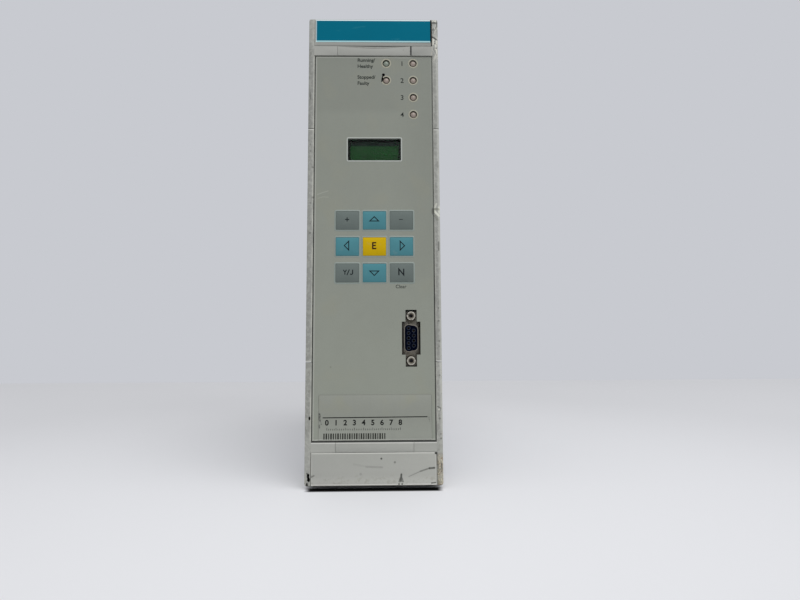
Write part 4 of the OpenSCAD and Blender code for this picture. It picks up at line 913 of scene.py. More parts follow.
def front_film(paint):
    """The printed film: fine leather grain, lighter towards its foot and dimmer at its top and upper right as
    painted light, with painted highlights beside its cut edges and painted shade along them.
    """
    finish = Finish("front_film", Roughness=0.5, Coat_Weight=0.1, Coat_Roughness=0.4)
    (_, _, foot), (side, _, head) = box("front_foil")
    x, z = finish.x, finish.z
    share = (z - foot) / (head - foot)
    # Painted shade: the upper right and the top are dimmed; below, the film is lightened towards its foot.
    painted_dimming = (x.above(8, 24) * z.above(-40, 40)).most(z.above(74, 6)) * 0.07
    hem = (side - abs(x)).least(head - z)
    faint = (x.above(0, 1) * z.above(-30, 50) * 0.5).most((head - z).below(0.3, 0.1) * 0.35)
    colour = finish.layered(
        finish.shade(finish.clouded(paint.film_tone), 1.12 - share * 0.2 - painted_dimming),
        (finish.noise(16, 3).above(0.52, 0.2) * 0.12, 146, 142, 116),
        # Painted highlights along the foot and beside the cut edges, and painted shade along the cut edges,
        # weaker on the right and at the top.
        ((z - foot).below(0.6, 0.25) * 0.6, 190, 192, 184),
        (hem.between(0.55, 1.0, 0.25) * (0.46 - x.above(20, 4) * 0.36), 176, 178, 170),
        (hem.below(0.28, 0.22) * (0.92 - faint), 24, 26, 22),
        (finish.marks(FILM_RUBS), 168, 171, 160),
        (finish.marks((), FILM_DOTS), paint.dirt_tone),
        (broken_away(finish), *GONE),
    )
    normal = finish.relief(finish.noise(0.35, 2) + finish.cells(0.6) * 0.4, 0.02)
    return finish.use(colour, roughness=0.46 + finish.noise(12, 3) * 0.14, normal=normal)


def label_film(paint):
    """The rating label: a smoother film with faint vertical streaks and a lifted, dirty left edge, lightened
    towards its foot as painted light, with a painted highlight along its foot.
    """
    finish = Finish("label_film", Roughness=0.4, Coat_Weight=0.25, Coat_Roughness=0.3)
    (left, _, foot), (right, _, head) = box("label_plate")
    x, z, noise = finish.x, finish.z, finish.noise
    hem = (x - left).least(right - x).least(head - z)
    colour = finish.layered(
        # Painted light: the label is lightened towards its foot.
        finish.shade(finish.clouded(paint.label_tone), 1 + (z - foot).below(0, 14) * 0.24),
        (noise(3.5, 2, (1, 1, 0.04)).above(0.5, 0.3) * 0.14, 120, 124, 118),
        (noise(14, 3).above(0.5, 0.2) * z.above(foot + 10, 12) * 0.25, 140, 140, 112),
        # Painted highlight along the foot.
        ((z - foot).below(0.5, 0.2) * 0.5, 196, 198, 190),
        (hem.below(0.2, 0.2) * 0.5, 104, 106, 98),
        (finish.marks(LABEL_STROKES, LABEL_SPOTS) * noise(0.8, 3).above(0.3, 0.3), 52, 54, 48),
    )
    return finish.use(colour, roughness=0.36 + noise(9, 3) * 0.14, normal=finish.relief(noise(0.8, 2), 0.008))


def plain_ink(name, colour, worn=0.25):
    """Screen-printed ink, rubbed thin in places."""
    finish = Finish(name, Roughness=0.5, Specular_IOR_Level=0.15)
    colour = finish.layered(colour, (finish.noise(0.7, 3).above(0.58, 0.2) * worn, 120, 124, 118))
    return finish.use(colour, roughness=0.42 + finish.noise(2, 2) * 0.2)


def moulded(name, colour, grain=0.3, roughness=0.45, dust=0.0, **sockets):
    """Moulded plastic: an even colour with spark-eroded grain, faint flow marks and a film of dust."""
    finish = Finish(name, Roughness=roughness, **sockets)
    flow = finish.noise(12, 3, (1, 1, 0.4)) * 0.14
    mixed = finish.shade(colour, 0.9 + flow + finish.noise(grain * 2, 1) * 0.08)
    if dust:
        mixed = finish.layered(mixed, (finish.noise(5, 4).above(0.5, 0.25) * dust, 150, 146, 136))
    normal = finish.relief(finish.noise(grain, 2), 0.012)
    return finish.use(mixed, roughness=(roughness - 0.06) + finish.noise(4, 3) * 0.14, normal=normal)


def worn_metal(name, tint, dull=0.3, spangle=0.0):
    """Bare or plated metal: clouded, spangled where asked, and dulled in patches."""
    finish = Finish(name, Roughness=0.35, Metallic=0.9)
    patches = finish.noise(3, 4).above(0.5, 0.18) * dull
    colour = finish.shade(tint, 0.86 + finish.noise(4, 3) * 0.2 + finish.noise(0.4, 1) * 0.08)
    colour = finish.layered(colour, (patches, 112, 98, 84))
    gloss = 0.28 + finish.noise(2, 3) * 0.2 + patches * 0.3
    if spangle:
        hue = finish.parts(finish.cells(7, output="Color"))[0]
        colour = finish.shade(colour, 1 - spangle / 2 + hue * spangle)
        gloss = gloss + hue * 0.16
    normal = finish.relief(finish.noise(0.25, 2), 0.006)
    return finish.use(colour, roughness=gloss, normal=normal, metallic=0.92 - patches * 0.6)


def display_glass(settings):
    """Switched-off liquid crystal: dark green, a darker band on top and dark sides as painted shade from the
    window's rim, and two faint rows of cells.
    """
    finish = Finish("lcd_glass", Roughness=0.25, Specular_IOR_Level=0.2)
    (left, _, foot), (right, _, head) = box("display_window")
    share = (finish.z - foot) / (head - foot)
    cell_step, row_step = 1.72, 4.9
    cell, row = ((finish.x - left) / cell_step).remainder(), ((finish.z - foot) / row_step).remainder()
    cells = cell.between(0.12, 0.84, 0.04) * row.between(0.14, 0.8, 0.03) * share.between(0.12, 0.66, 0.02)
    side = abs(finish.x - (left + right) / 2).above((right - left) / 2 - 1.5, 0.3)
    colour = finish.layered(
        finish.shade(settings.glass_tone, 0.85 + finish.noise(9, 3) * 0.3),
        # Painted shade: the band under the window's top edge, and the dark sides and top rim.
        (share.above(0.66, 0.1), settings.band_tone),
        (cells * 0.12, 18, 44, 26),
        (side.most(share.above(0.88, 0.03)) * 0.9, 8, 10, 9),
    )
    return finish.use(colour, roughness=0.16 + finish.noise(5, 2) * 0.1)


def window_pane():
    """The clear pane in front of the display: tinted, glossy and lightly hazed by fingers."""
    finish = Finish("window_pane", Roughness=0.08, Specular_IOR_Level=0.3)
    haze = finish.noise(6, 4).above(0.5, 0.3)
    colour = finish.layered(linear(14, 34, 20), (haze * 0.3, 90, 104, 92))
    return finish.use(colour, roughness=0.06 + haze * 0.16, alpha=0.14 + haze * 0.07)


def chipped_lamp():
    """The lowest lamp of the left column, where the film is chipped."""
    return min(lamp_places(), key=lambda place: place[0] * 10 + place[1])


def broken_away(finish):
    """Where the film is broken away beside that lamp."""
    x, z = chipped_lamp()
    return finish.any_of([
        finish.spot((x - 1.6, z + 3.3), (0.8, 0.85), 0.2),
        finish.stroke((x - 1.9, z + 2.7), (x - 2.3, z + 1.4), 0.25, 0.2),
        finish.stroke((x - 2.3, z + 1.4), (x - 2.55, z - 0.6), 0.3, 0.2),
    ])


def collar_film(settings):
    """The film's pale raised collars, one of them broken."""
    finish = Finish("lamp_collars", Roughness=0.45, Specular_IOR_Level=0.3)
    colour = finish.shade(settings.collar_tone, 0.9 + finish.noise(1.5, 3) * 0.2)
    colour = finish.layered(colour, (broken_away(finish), *GONE))
    return finish.use(colour, roughness=0.4 + finish.noise(2, 2) * 0.1)


def lens_plastic(name, tint):
    """Milky lens plastic: pale at the crown of each dome, brown towards its rim and its foot, partly the lens's
    own tint and partly painted shade.
    """
    finish = Finish(name, Roughness=0.25, Coat_Weight=0.3, Coat_Roughness=0.12)
    tip = front_of("status_leds")
    # Painted shade: the crowns sit up and right of each lamp's middle, so the rim is browner at the lower left,
    # and the lens is darker deeper in its hole.
    offs = [finish.away(finish.x - (x + 0.18), finish.z - (z + 0.4)) for x, z in lamp_places()]
    colour = finish.layered(
        finish.shade(tint, 0.94 + finish.noise(1.2, 3) * 0.14),
        (functools.reduce(Number.least, offs).above(1.8, 0.5) * 0.8, 74, 56, 45),
        ((finish.y - tip).above(1.3, 0.9) * 0.9, 42, 32, 26),
        (finish.noise(0.5, 2).above(0.66, 0.05) * 0.3, 104, 88, 78),
    )
    return finish.use(colour, roughness=0.2 + finish.noise(0.8, 2) * 0.2)


def key_film(name, tint):
    """The key's embossed film: satin, its colour paler towards the head of each key as painted light, and paler
    where it is rubbed. The height within a key is the remainder of the height over the pitch of the rows."""
    finish = Finish(name, Roughness=0.45, Specular_IOR_Level=0.1)
    noise, foot = finish.noise, box("key_enter")[0][2]
    pitch = middle("key_up")[2] - middle("key_enter")[2]
    share = ((finish.z - foot + 20 * pitch) / pitch).remainder() * (pitch / 11)
    # Painted light: each key is paler towards its head.
    colour = finish.shade(tint, 0.8 + share * 0.26 + noise(7, 3) * 0.14 + noise(0.6, 1) * 0.08)
    colour = finish.layered(colour, (noise(5, 3).above(0.6, 0.15) * 0.12, 140, 146, 142))
    return finish.use(colour, roughness=0.4 + noise(3, 3) * 0.14, normal=finish.relief(noise(0.4, 2), 0.012))


def jack_metal(node, tint, side, face):
    """The jack screws' plating: worn in patches, bright at the six corners of each hex as painted highlights,
    and black inside the threaded bore as painted shade.
    """
    finish = Finish(node, Roughness=0.35, Metallic=0.9)
    x, y, z = finish.x, finish.y, finish.z
    bores = [place[[0, 2]] for place in middles(node)]
    patches = finish.noise(1.1, 4).above(0.5, 0.14) * 0.7
    # Painted shade: black inside each threaded bore.
    inside = finish.any_of([finish.spot(place, 1.4, 0.15) for place in bores])
    inside = inside * ((y - face) * -side).above(0.12, 0.25)
    thread = abs((y / 0.6).remainder() - 0.5) * 2
    colour = finish.shade(tint, 0.8 + finish.noise(1.2, 3) * 0.4)
    colour = finish.layered(colour, (patches, 74, 68, 58))
    for across, up in bores:
        off_x, off_z = x - across, z - up
        off = finish.away(off_x, off_z)
        # Painted highlights at the six corners of each hex.
        turn = finish.math("COSINE", finish.math("ARCTAN2", off_z, off_x) * 6)
        painted_glints = turn.above(-0.2, 0.8) * off.between(1.95, 2.9, 0.15) * 0.6
        ring = off.between(1.45, 1.75, 0.12) * 0.55
        colour = finish.layered(colour, (ring, 60, 55, 47), (painted_glints, 214, 209, 198))
    colour = finish.layered(colour, (inside * 0.98, 8, 7, 6))
    normal = finish.relief(thread * inside, 0.2)
    return finish.use(colour, roughness=0.34 + patches * 0.3, metallic=(1 - inside) * 0.9, normal=normal)


def board_laminate(settings):
    """Glass-fibre board: green mask over branching tracks, with tinned vias at their bends."""
    finish = Finish("circuit_board", Roughness=0.35, Coat_Weight=0.3, Coat_Roughness=0.2)
    tracks, fine = (
        finish.cells(size, feature="DISTANCE_TO_EDGE", random=random).below(0.05, 0.02)
        for size, random in ((5.2, 0.75), (2.4, 0.5))
    )
    copper = tracks.most(fine * finish.noise(18, 1).above(0.5, 0.02))
    vias = finish.cells(4.3).below(0.13, 0.02)
    colour = finish.layered(
        finish.shade(settings.mask_tone, 0.9 + finish.noise(20, 2) * 0.2),
        (copper, settings.trace_tone),
        (vias, 196, 190, 160),
        (finish.cells(4.3).below(0.06, 0.01), 16, 18, 16),
    )
    normal = finish.relief(copper.most(vias), 0.03)
    return finish.use(colour, roughness=0.3 + vias * 0.1, metallic=vias * 0.7, normal=normal)


def battery_wrap():
    """The battery's sleeve: a pale band between two printed ones, and bright ends."""
    finish = Finish("battery_wrap", Roughness=0.35, Coat_Weight=0.3)
    low, high = box("battery")
    share = (finish.y - low[1]) / (high[1] - low[1])
    ends = share.below(0.03, 0.004).most(share.above(0.955, 0.004))
    colour = finish.layered(
        finish.shade(linear(196, 196, 92), 0.92 + finish.noise(6, 2) * 0.14),
        (share.between(0.1, 0.26, 0.005), 28, 62, 110),
        (share.above(0.84, 0.005), 176, 48, 36),
        (ends, 190, 190, 186),
    )
    return finish.use(colour, roughness=0.34 + finish.noise(4, 2) * 0.1, metallic=ends * 0.9)


def sleeve_film():
    """The capacitors' shrink sleeve: deep blue with a pale stripe down one side and a bare top."""
    finish = Finish("capacitor_sleeve", Roughness=0.3, Coat_Weight=0.4, Coat_Roughness=0.15)
    low, high = box("capacitors")
    colour = finish.layered(
        finish.shade(linear(28, 36, 74), 0.9 + finish.noise(8, 2) * 0.2),
        (finish.z.below(low[2] + 1.1, 0.1) * 0.9, 176, 180, 186),
        (finish.x.above(high[0] - 0.6, 0.2) * 0.6, 60, 64, 84),
    )
    return finish.use(colour, roughness=0.28 + finish.noise(3, 2) * 0.1)


def core_and_coil(settings):
    """Transformer iron in fine laminations, with taped copper coils that stand out on both sides."""
    finish = Finish("core_iron", Roughness=0.5)
    sheets = (finish.z / 0.7).remainder().above(0.5, 0.2)
    heights = [(low[2], high[2]) for node in ("power_transformer", "current_transformers")
               for low, high in bodies_of(node)]
    coil = finish.any_of([
        abs(finish.z - (foot + head) / 2).between((head - foot) / 2 * 0.684, (head - foot) / 2 + 0.1, 0.02)
        for foot, head in heights
    ])
    wound = abs((finish.x / 0.9).remainder() - 0.5) * 2
    tape = finish.y.above(0, 1) * finish.noise(9, 2).above(0.55, 0.02)
    # Painted shade between the turns of wire.
    copper = finish.layered(finish.shade(settings.copper_tone, 1.1 - wound * 0.6), (tape * 0.85, 206, 178, 96))
    iron = finish.shade(linear(84, 84, 88), 0.78 + finish.noise(6, 3) * 0.2 + sheets * 0.2)
    colour = finish.layered(iron, (coil, copper))
    normal = finish.relief((1 - wound * wound) * coil + sheets * 0.1 * (1 - coil), 0.25)
    return finish.use(colour, roughness=0.4 + sheets * 0.1, metallic=(1 - coil) * 0.5, normal=normal)


def flat_cable():
    """Ribbon cable: grey insulated wires side by side, the first one red, between dark plugs."""
    finish = Finish("ribbon_grey", Roughness=0.45)
    (_, front, foot), (_, back, _) = box("ribbon_cable")
    wire = abs((finish.z / 1.27).remainder() - 0.5) * 2
    plug = finish.y.below(front + 5.2, 0.05).most(finish.y.above(back - 5.0, 0.05))
    colour = finish.layered(
        # Painted shade towards each wire's sides, between the wires.
        finish.shade(linear(150, 152, 154), 1.05 - wire * wire * 0.35),
        (finish.z.between(foot + 3.0, foot + 4.2, 0.1) * 0.85, 170, 40, 36),
        (plug, 34, 34, 38),
    )
    normal = finish.relief((1 - wire * wire) * (1 - plug), 0.3)
    return finish.use(colour, roughness=0.42 + finish.noise(3, 2) * 0.1, normal=normal)


# Steps


class RELAY_OT_painted_frame(bpy.types.Operator):
    """Paint the front frame, its side strips and latches, and both caps"""

    bl_idname = "relay.painted_frame"
    bl_label = "Painted frame"

    def execute(self, context):
        paint = context.scene.relay_paint
        dress(frame_paint(paint), "frame_top", "frame_bottom", "side_strip_left", "side_strip_right",
              "latch_top", "latch_bottom", edge=0.18)
        dress(cap_paint(paint), "top_cap", "bottom_cap", edge=0.18)
        dress(strip_film(paint), "colour_strip")
        (left, front, _), (right, _, head) = box("latch_top")
        share = np.linspace(-1, 1, 41)
        inset = 0.985  # Keeps the lip's ends inside the latch
        across = (left + right) / 2 + share * (right - left) / 2 * inset
        dip = 1 - (share * inset) ** 2
        foot, top = head - dip, head - 0.02 - (0.28 + 0.14 * share) * dip
        flat = np.stack([np.column_stack([across, level]) for level in (foot, top, top, foot)])
        lip = solid(lifted(flat, [[0], [0], [-0.7], [-0.7]]))
        piece("latch_lip", on_front(lip, front + 0.12), bare_enamel(paint))
        deep = moulded("paint_chips", linear(*GONE), roughness=0.8, Specular_IOR_Level=0.0)
        chips = on_front(ragged(FLAKES, FLAKE_RADII), front_of("frame_top"))
        piece("paint_chips", chips, deep)
        return {"FINISHED"}


class RELAY_OT_front_panel(bpy.types.Operator):
    """Finish the panel, its film and the label"""

    bl_idname = "relay.front_panel"
    bl_label = "Panel, film and label"

    def execute(self, context):
        paint = context.scene.relay_paint
        dress(moulded("panel_plastic", linear(122, 126, 120), dust=0.2), "front_panel")
        dress(front_film(paint), "front_foil")
        dress(label_film(paint), "label_plate", edge=0.04)
        return {"FINISHED"}


class RELAY_OT_front_print(bpy.types.Operator):
    """Print the lamps' numbers and captions, and the label's rule and scale"""

    bl_idname = "relay.front_print"
    bl_label = "Front print"

    def execute(self, context):
        settings = context.scene.relay_print
        ink = plain_ink("print_ink", context.scene.relay_paint.ink_tone)
        soft_ink = plain_ink("print_grey", linear(34, 40, 36), 0.2)
        bar_ink = plain_ink("bar_ink", linear(50, 52, 47), 0.35)
        film, top = front_of("front_foil"), settings.ink
        lamps = lamp_places()
        right = max(x for x, _ in lamps)
        column = sorted((z for x, z in lamps if x > right - 1), reverse=True)
        numbers = [
            lettering(str(count + 1), settings.numeral, right - settings.numeral_gap, z - settings.numeral / 2,
                      top, bold=0.012)
            for count, z in enumerate(column)
        ]
        left = sorted(((x, z) for x, z in lamps if x < right - 1), key=lambda place: -place[1])
        half = settings.caption_line / 2
        captions = [
            lettering(text, settings.caption, x - settings.caption_gap, z + lift - settings.caption / 2 + 0.2,
                      top, 0.022, "LEFT")
            for (x, z), lines in zip(left, (("Running/", "Healthy"), ("Stopped/", "Faulty")))
            for text, lift in zip(lines, (half, -half))
        ]
        under_key = box("key_no")[0][2] + KEY_BACK - settings.caption * 1.5
        across = middle("key_no")[0] - 0.4
        captions.append(lettering("Clear", settings.caption * 0.95, across, under_key, top, bold=0.006))
        _, face, foot = box("label_plate")[0]
        rule_z, first, every, pen = foot + settings.rule_up, -25.6, 5, 0.22
        rule = line([[-27.9, rule_z], [29.2, rule_z + 0.25]], settings.rule, INK_FOOT, top)
        row = [
            lettering(str(count), settings.label_numeral, first + count * every, rule_z - 4.0, top, 0.03)
            for count in range(9)
        ]
        ticks = [
            line([[first + count, rule_z - 6.8], [first + count, rule_z - (5.9 if count % every else 5.4)]],
                 pen, INK_FOOT, top)
            for count in range(8 * every + 1)
        ]
        count, bar_step = np.arange(27), 1.27
        widths = 0.5 + 0.42 * (0.5 + 0.5 * np.sin(count * 2.4))
        bars = [
            line([[x, foot + 0.5], [x, foot + 3.7]], width, INK_FOOT, top)
            for x, width in zip(-27.1 + count * bar_step, widths)
        ]
        for name, shapes, level, material, slot in (
            ("lamp_numbers", numbers, film, soft_ink, "front_film"),
            ("small_captions", captions, film, soft_ink, "front_film"),
            ("label_rule", [rule], face, ink, "label_film"),
            ("label_ticks", ticks, face, soft_ink, "label_film"),
            ("label_numbers", row, face, ink, "label_film"),
            ("label_bars", bars, face, bar_ink, "label_film"),
        ):
            piece(name, on_front(merged(*shapes), level), material, smooth=False)
        return {"FINISHED"}


class RELAY_OT_display(bpy.types.Operator):
    """Finish the display: its glass, its window pane and the pale lip round it"""

    bl_idname = "relay.display"
    bl_label = "Display"

    def execute(self, context):
        settings = context.scene.relay_display
        low, high = box("display_window")
        width, _, height = high - low
        place = [middle("display_window")[[0, 2]]]
        gap, inset, thick, behind = 0.1, 0.5, 0.4, 0.6
        outline = rounded_rectangle(width + 2 * gap, height + 2 * gap, 0.3)
        lip = bead(outline, half_round(settings.lip, settings.lip_height), place)
        pale = moulded("window_lip", settings.lip_tone, roughness=0.35)
        piece("window_lip", on_front(lip, front_of("front_foil")), pale)
        glass = bevelled(width - inset, height - inset, thick, 0.05, place, corner=0.1)
        glass = on_front(glass, high[1] + behind)
        piece("lcd_glass", glass, display_glass(settings))
        dress(moulded("display_dark", linear(14, 16, 15), roughness=0.4), "display_module")
        dress(window_pane(), "display_window")
        return {"FINISHED"}


class RELAY_OT_lamps(bpy.types.Operator):
    """Finish the lamps' lenses and set a pale collar round each"""

    bl_idname = "relay.lamps"
    bl_label = "Lamps"

    def execute(self, context):
        settings = context.scene.relay_lamps
        film = front_of("front_foil")
        profile = half_round(settings.collar, settings.collar_height)
        collars = on_front(bead(circle(settings.collar_inner), profile, lamp_places()), film)
        piece("lamp_collars", collars, collar_film(settings))
        flakes = ragged(chipped_lamp() + np.array([(-1.6, 3.3), (-2.2, 1.2)]), [(0.7, 0.75), (0.35, 1.0)])
        deep = moulded("film_chips", linear(4, 4, 3), roughness=0.8, Specular_IOR_Level=0.0)
        piece("film_chips", on_front(flakes, film - settings.collar_height), deep)
        dress(lens_plastic("lamp_red", settings.red_tone), "status_leds")
        dress(lens_plastic("lamp_clear", settings.clear_tone), "service_led")
        dress(moulded("lamp_holder", linear(18, 18, 18)), "led_spacers")
        return {"FINISHED"}


class RELAY_OT_keys(bpy.types.Operator):
    """Cover the keys with crowned pads, mark them, and set a raised rim round each"""

    bl_idname = "relay.keys"
    bl_label = "Keys"

    def execute(self, context):
        settings = context.scene.relay_keys
        tones = {"grey": settings.grey_tone, "blue": settings.blue_tone, "yellow": settings.yellow_tone}
        finishes = {tint: key_film("key_" + tint, tones[tint]) for tint in tones}
        ink = plain_ink("key_ink", linear(10, 20, 24), 0.1)
        brown = plain_ink("key_ink_brown", linear(44, 16, 4), 0.1)
        inset, corner, skirt = 0.6, 0.5, 0.04
        t = np.linspace(0, 1, 12)[1:]
        swell = np.stack([1 - 0.985 * t, skirt + settings.crown * (1 - (1 - t) ** 3.2)], axis=1)
        levels = [(1, FOOT), (1, skirt), *swell]
        places = []
        for name, tint in KEY_TINTS.items():
            node, slot = "key_" + name, "key_" + tint
            low, high = box(node)
            width, _, height = high - low - 2 * KEY_BACK
            place = middle(node)[[0, 2]]
            places.append(place)
            dress(finishes[tint], node, edge=0.08)
            pad = heaped(rounded_rectangle(width - inset, height - inset, corner)[0], levels, [place])
            piece(node + "_pad", on_front(pad, low[1]), finishes[tint], node)
            points, faces = key_mark(name, settings, place)
            mark = on_front((points + [0, 0, 0.03 + settings.crown], faces), low[1])
            piece(node + "_mark", mark, brown if name == "enter" else ink, node, smooth=False)
        lap, reach, top = settings.rim_lap, settings.rim_width - settings.rim_lap, settings.rim_height
        profile = [
            (-lap, top - 0.045), (-lap + 0.04, top), (0.15, top), (reach * 0.7, top * 0.4), (reach, 0.02),
            (reach, FOOT), (0.18, FOOT), (0.18, top - 0.045),
        ]
        rims = bead(rounded_rectangle(width, height, corner), profile, places)
        rims = on_front(rims, front_of("front_foil"))
        piece("key_rims", rims, moulded("key_rims", settings.rim_tone))
        dress(moulded("switch_black", linear(24, 24, 26), roughness=0.5), "key_switches")
        return {"FINISHED"}


KEY_TINTS = {
    "plus": "grey", "up": "blue", "minus": "grey", "left": "blue", "enter": "yellow", "right": "blue",
    "yes": "grey", "down": "blue", "no": "grey",
}
# How far each triangle is turned, and where it sits on its key.
ARROWS = {
    "up": (0, (-0.1, 0.8)), "down": (180, (-0.1, -0.2)), "left": (90, (-0.5, 0.5)), "right": (-90, (0.5, 0.4)),
}
MARK_SHIFT = (-0.2, 0.45)
# Width of the pen and the corners of each stroke, about the mark's middle.
STROKES = {
    "plus": (0.5, (((-1.15, 0), (1.15, 0)), ((0, -1.15), (0, 1.15)))),
    "minus": (0.36, (((-1.05, 0), (1.05, 0)),)),
    "enter": (0.78, (((1.2, 1.65), (-0.75, 1.65), (-0.75, -1.65), (1.25, -1.65)), ((-0.75, 0.1), (0.95, 0.1)))),
    "no": (0.66, (((-1.35, -1.85), (-1.35, 1.65), (1.35, -1.65), (1.35, 1.85)),)),
    "yes": (0.5, (
        ((-2.0, 1.3), (-1.1, 0), (-1.1, -1.4)), ((-0.2, 1.3), (-1.1, 0)), ((0, -1.7), (1.4, 1.5)),
        ((3.2, 1.4), (3.2, -0.7), (2.85, -1.2), (2.25, -1.3), (1.8, -0.9)),
    )),
}


def key_mark(name, settings, place):
    """A key's mark, at its place: a cross, a dash, an outlined triangle or a letter of plain strokes."""
    low, high = -0.04, 0.03
    if name in ARROWS:
        degrees, shift = ARROWS[name]
        long, short, turn = settings.arrow_long / 2, settings.arrow_short / 2, math.radians(degrees)
        tip = np.array([[-long, -short], [long, -short], [0, short]])
        c, s = math.cos(turn), math.sin(turn)
        return line(tip @ np.array([[c, s], [-s, c]]) + shift + place, settings.line, low, high, closed=True)
    width, strokes = STROKES[name]
    return merged(*(
        line(np.array(corners) + MARK_SHIFT + place, width, low, high + 0.006 * count)
        for count, corners in enumerate(strokes)
    ))


class RELAY_OT_ports(bpy.types.Operator):
    """Finish the two nine-way ports, with rings round their contacts and sleeves in them"""

    bl_idname = "relay.ports"
    bl_label = "Ports"

    def execute(self, context):
        settings = context.scene.relay_ports
        shell = worn_metal("port_metal", settings.shell_tone, 0.45)
        dress(shell, "front_port_shell", "rear_port_shell", edge=0.06)
        blue = moulded("port_blue", settings.blue_tone, roughness=0.55, Specular_IOR_Level=0.0)
        black = moulded("port_black", linear(16, 16, 18), roughness=0.5, Specular_IOR_Level=0.3)
        # The contacts' gold is darkened as painted shade deep in their holes.
        gold = worn_metal("contact_gold", linear(40, 32, 20), 0.4)
        pale = moulded("port_rings", linear(36, 45, 62), roughness=0.4, Specular_IOR_Level=0.3)
        dark_metal = worn_metal("thread_metal", linear(92, 87, 77), 0.5)
        row, hole = np.arange(9), settings.contact
        upper = row < 5
        contacts = np.stack([np.where(upper, -1, 1) * settings.rows / 2,
                             np.where(upper, row - 2.0, row - 6.5) * settings.pitch], axis=1)
        inner, outer, deep, shallow = hole * 0.5, hole * 0.9, -3.6, -1.4
        sleeve = [(inner, deep), (inner, shallow), (outer, shallow), (outer, deep)]
        for end, side, end_of, stand, plastic, slot in (
            ("front", -1, front_of, on_front, blue, "port_blue"),
            ("rear", 1, back_of, on_rear, black, "black_plastic"),
        ):
            node, jacks, flip = end + "_port_insulator", end + "_port_jacks", [-side, 1]
            dress(plastic, node)
            level, tip = (end_of(name) for name in (node, jacks))
            places = contacts + middle(end + "_port_shell")[[0, 2]] * flip
            rings = bead(circle(hole + 0.12, 14), half_round(0.24, 0.12, steps=5), places)
            piece(end + "_port_rings", stand(rings, level), pale)
            sleeves = bead(circle(0, 12), sleeve, places)
            piece(end + "_port_contacts", stand(sleeves, level), gold)
            threads = inner_thread(settings.bore, [place[[0, 2]] * flip for place in middles(jacks)])
            piece(end + "_port_threads", stand(threads, tip), dark_metal)
            dress(jack_metal(jacks, settings.jack_tone, side, tip), jacks, edge=0.1)
        return {"FINISHED"}


def inner_thread(bore, places):
    """Internal threads: rings whose bore runs in and out as a saw with the depth."""
    start, end, outer, turns = -0.05, -1.85, 1.43, 13
    depth = np.linspace(start, end, turns)
    inner = np.where(np.arange(turns) % 2, bore, bore + 0.22)
    return bead(circle(0, 24), [*np.stack([inner, depth], axis=1), (outer, end), (outer, start)], places)


class RELAY_OT_housing(bpy.types.Operator):
    """Finish the sheet-metal housing, its flanges and screws, and rivet its sides"""

    bl_idname = "relay.housing"
    bl_label = "Housing"

    def execute(self, context):
        settings = context.scene.relay_hardware
        sheet = worn_metal("housing_sheet", settings.sheet_tone, 0.16, spangle=0.16)
        dress(sheet, "housing_shell", "rear_plate")
        steel = worn_metal("zinc_steel", settings.steel_tone, 0.25)
        dress(steel, "flange_top", "flange_bottom", edge=0.12)
        dress(steel, "housing_screws", "board_screws", edge=0.06)
        low, high = box("housing_shell")
        radius = settings.rivet / 2
        dome = [(radius, FOOT), (radius, 0.12), (radius * 0.86, 0.5), (radius * 0.5, 0.78), (0.1, 0.86)]
        for name, side, stand, level in (
            ("rivets_right", 1, on_right, high[0]), ("rivets_left", -1, on_left, low[0]),
        ):
            places = [(side * y, sign * (high[2] - RIVET_INSET)) for y in RIVET_ROWS for sign in (-1, 1)]
            piece(name, stand(turned(dome, places), level), steel)
        stud = middle("earth_stud")
        place = np.array([-stud[0], stud[2] + EARTH_MARK_UP])
        marks = [
            line([place + [-half, -down], place + [half, -down]], EARTH_LINE, INK_FOOT, 0.03)
            for half, down in ((2.6, 0.0), (1.7, 1.2), (0.8, 2.4))
        ]
        marks.append(line([place, place + [0, 2.8]], EARTH_LINE, INK_FOOT, 0.035))
        marks += [
            lettering(letter, REAR_LETTER, -REAR_LETTER_X, middle(block)[2] - REAR_LETTER / 2, 0.03, 0.01)
            for letter, block in (("A", "upper_block"), ("B", "lower_block"), ("C", "current_block"))
        ]
        ink = plain_ink("rear_ink", linear(24, 24, 26), 0.3)
        plate = back_of("rear_plate")
        piece("rear_marks", on_rear(merged(*marks), plate), ink, smooth=False)
        return {"FINISHED"}


RIVET_ROWS, RIVET_INSET = (10.0, 62.0, 114.0, 164.0), 7  # Behind the panel, and in from the sheet's ends
EARTH_MARK_UP, EARTH_LINE = 12.0, 0.45
REAR_LETTER_X, REAR_LETTER = 14.0, 4.2
POLE_NUMERAL, CELL_NUMERAL, NUMERAL_OUT = 1.9, 1.3, 2.2
PLATE_WIDTH = 8  # Wider bodies among the current screws are the plates under them


def by_column(places, centre):
    """Places sorted by column, then from the top down."""
    return sorted(places, key=lambda place: (round(place[0] - centre) > 0, -place[2]))


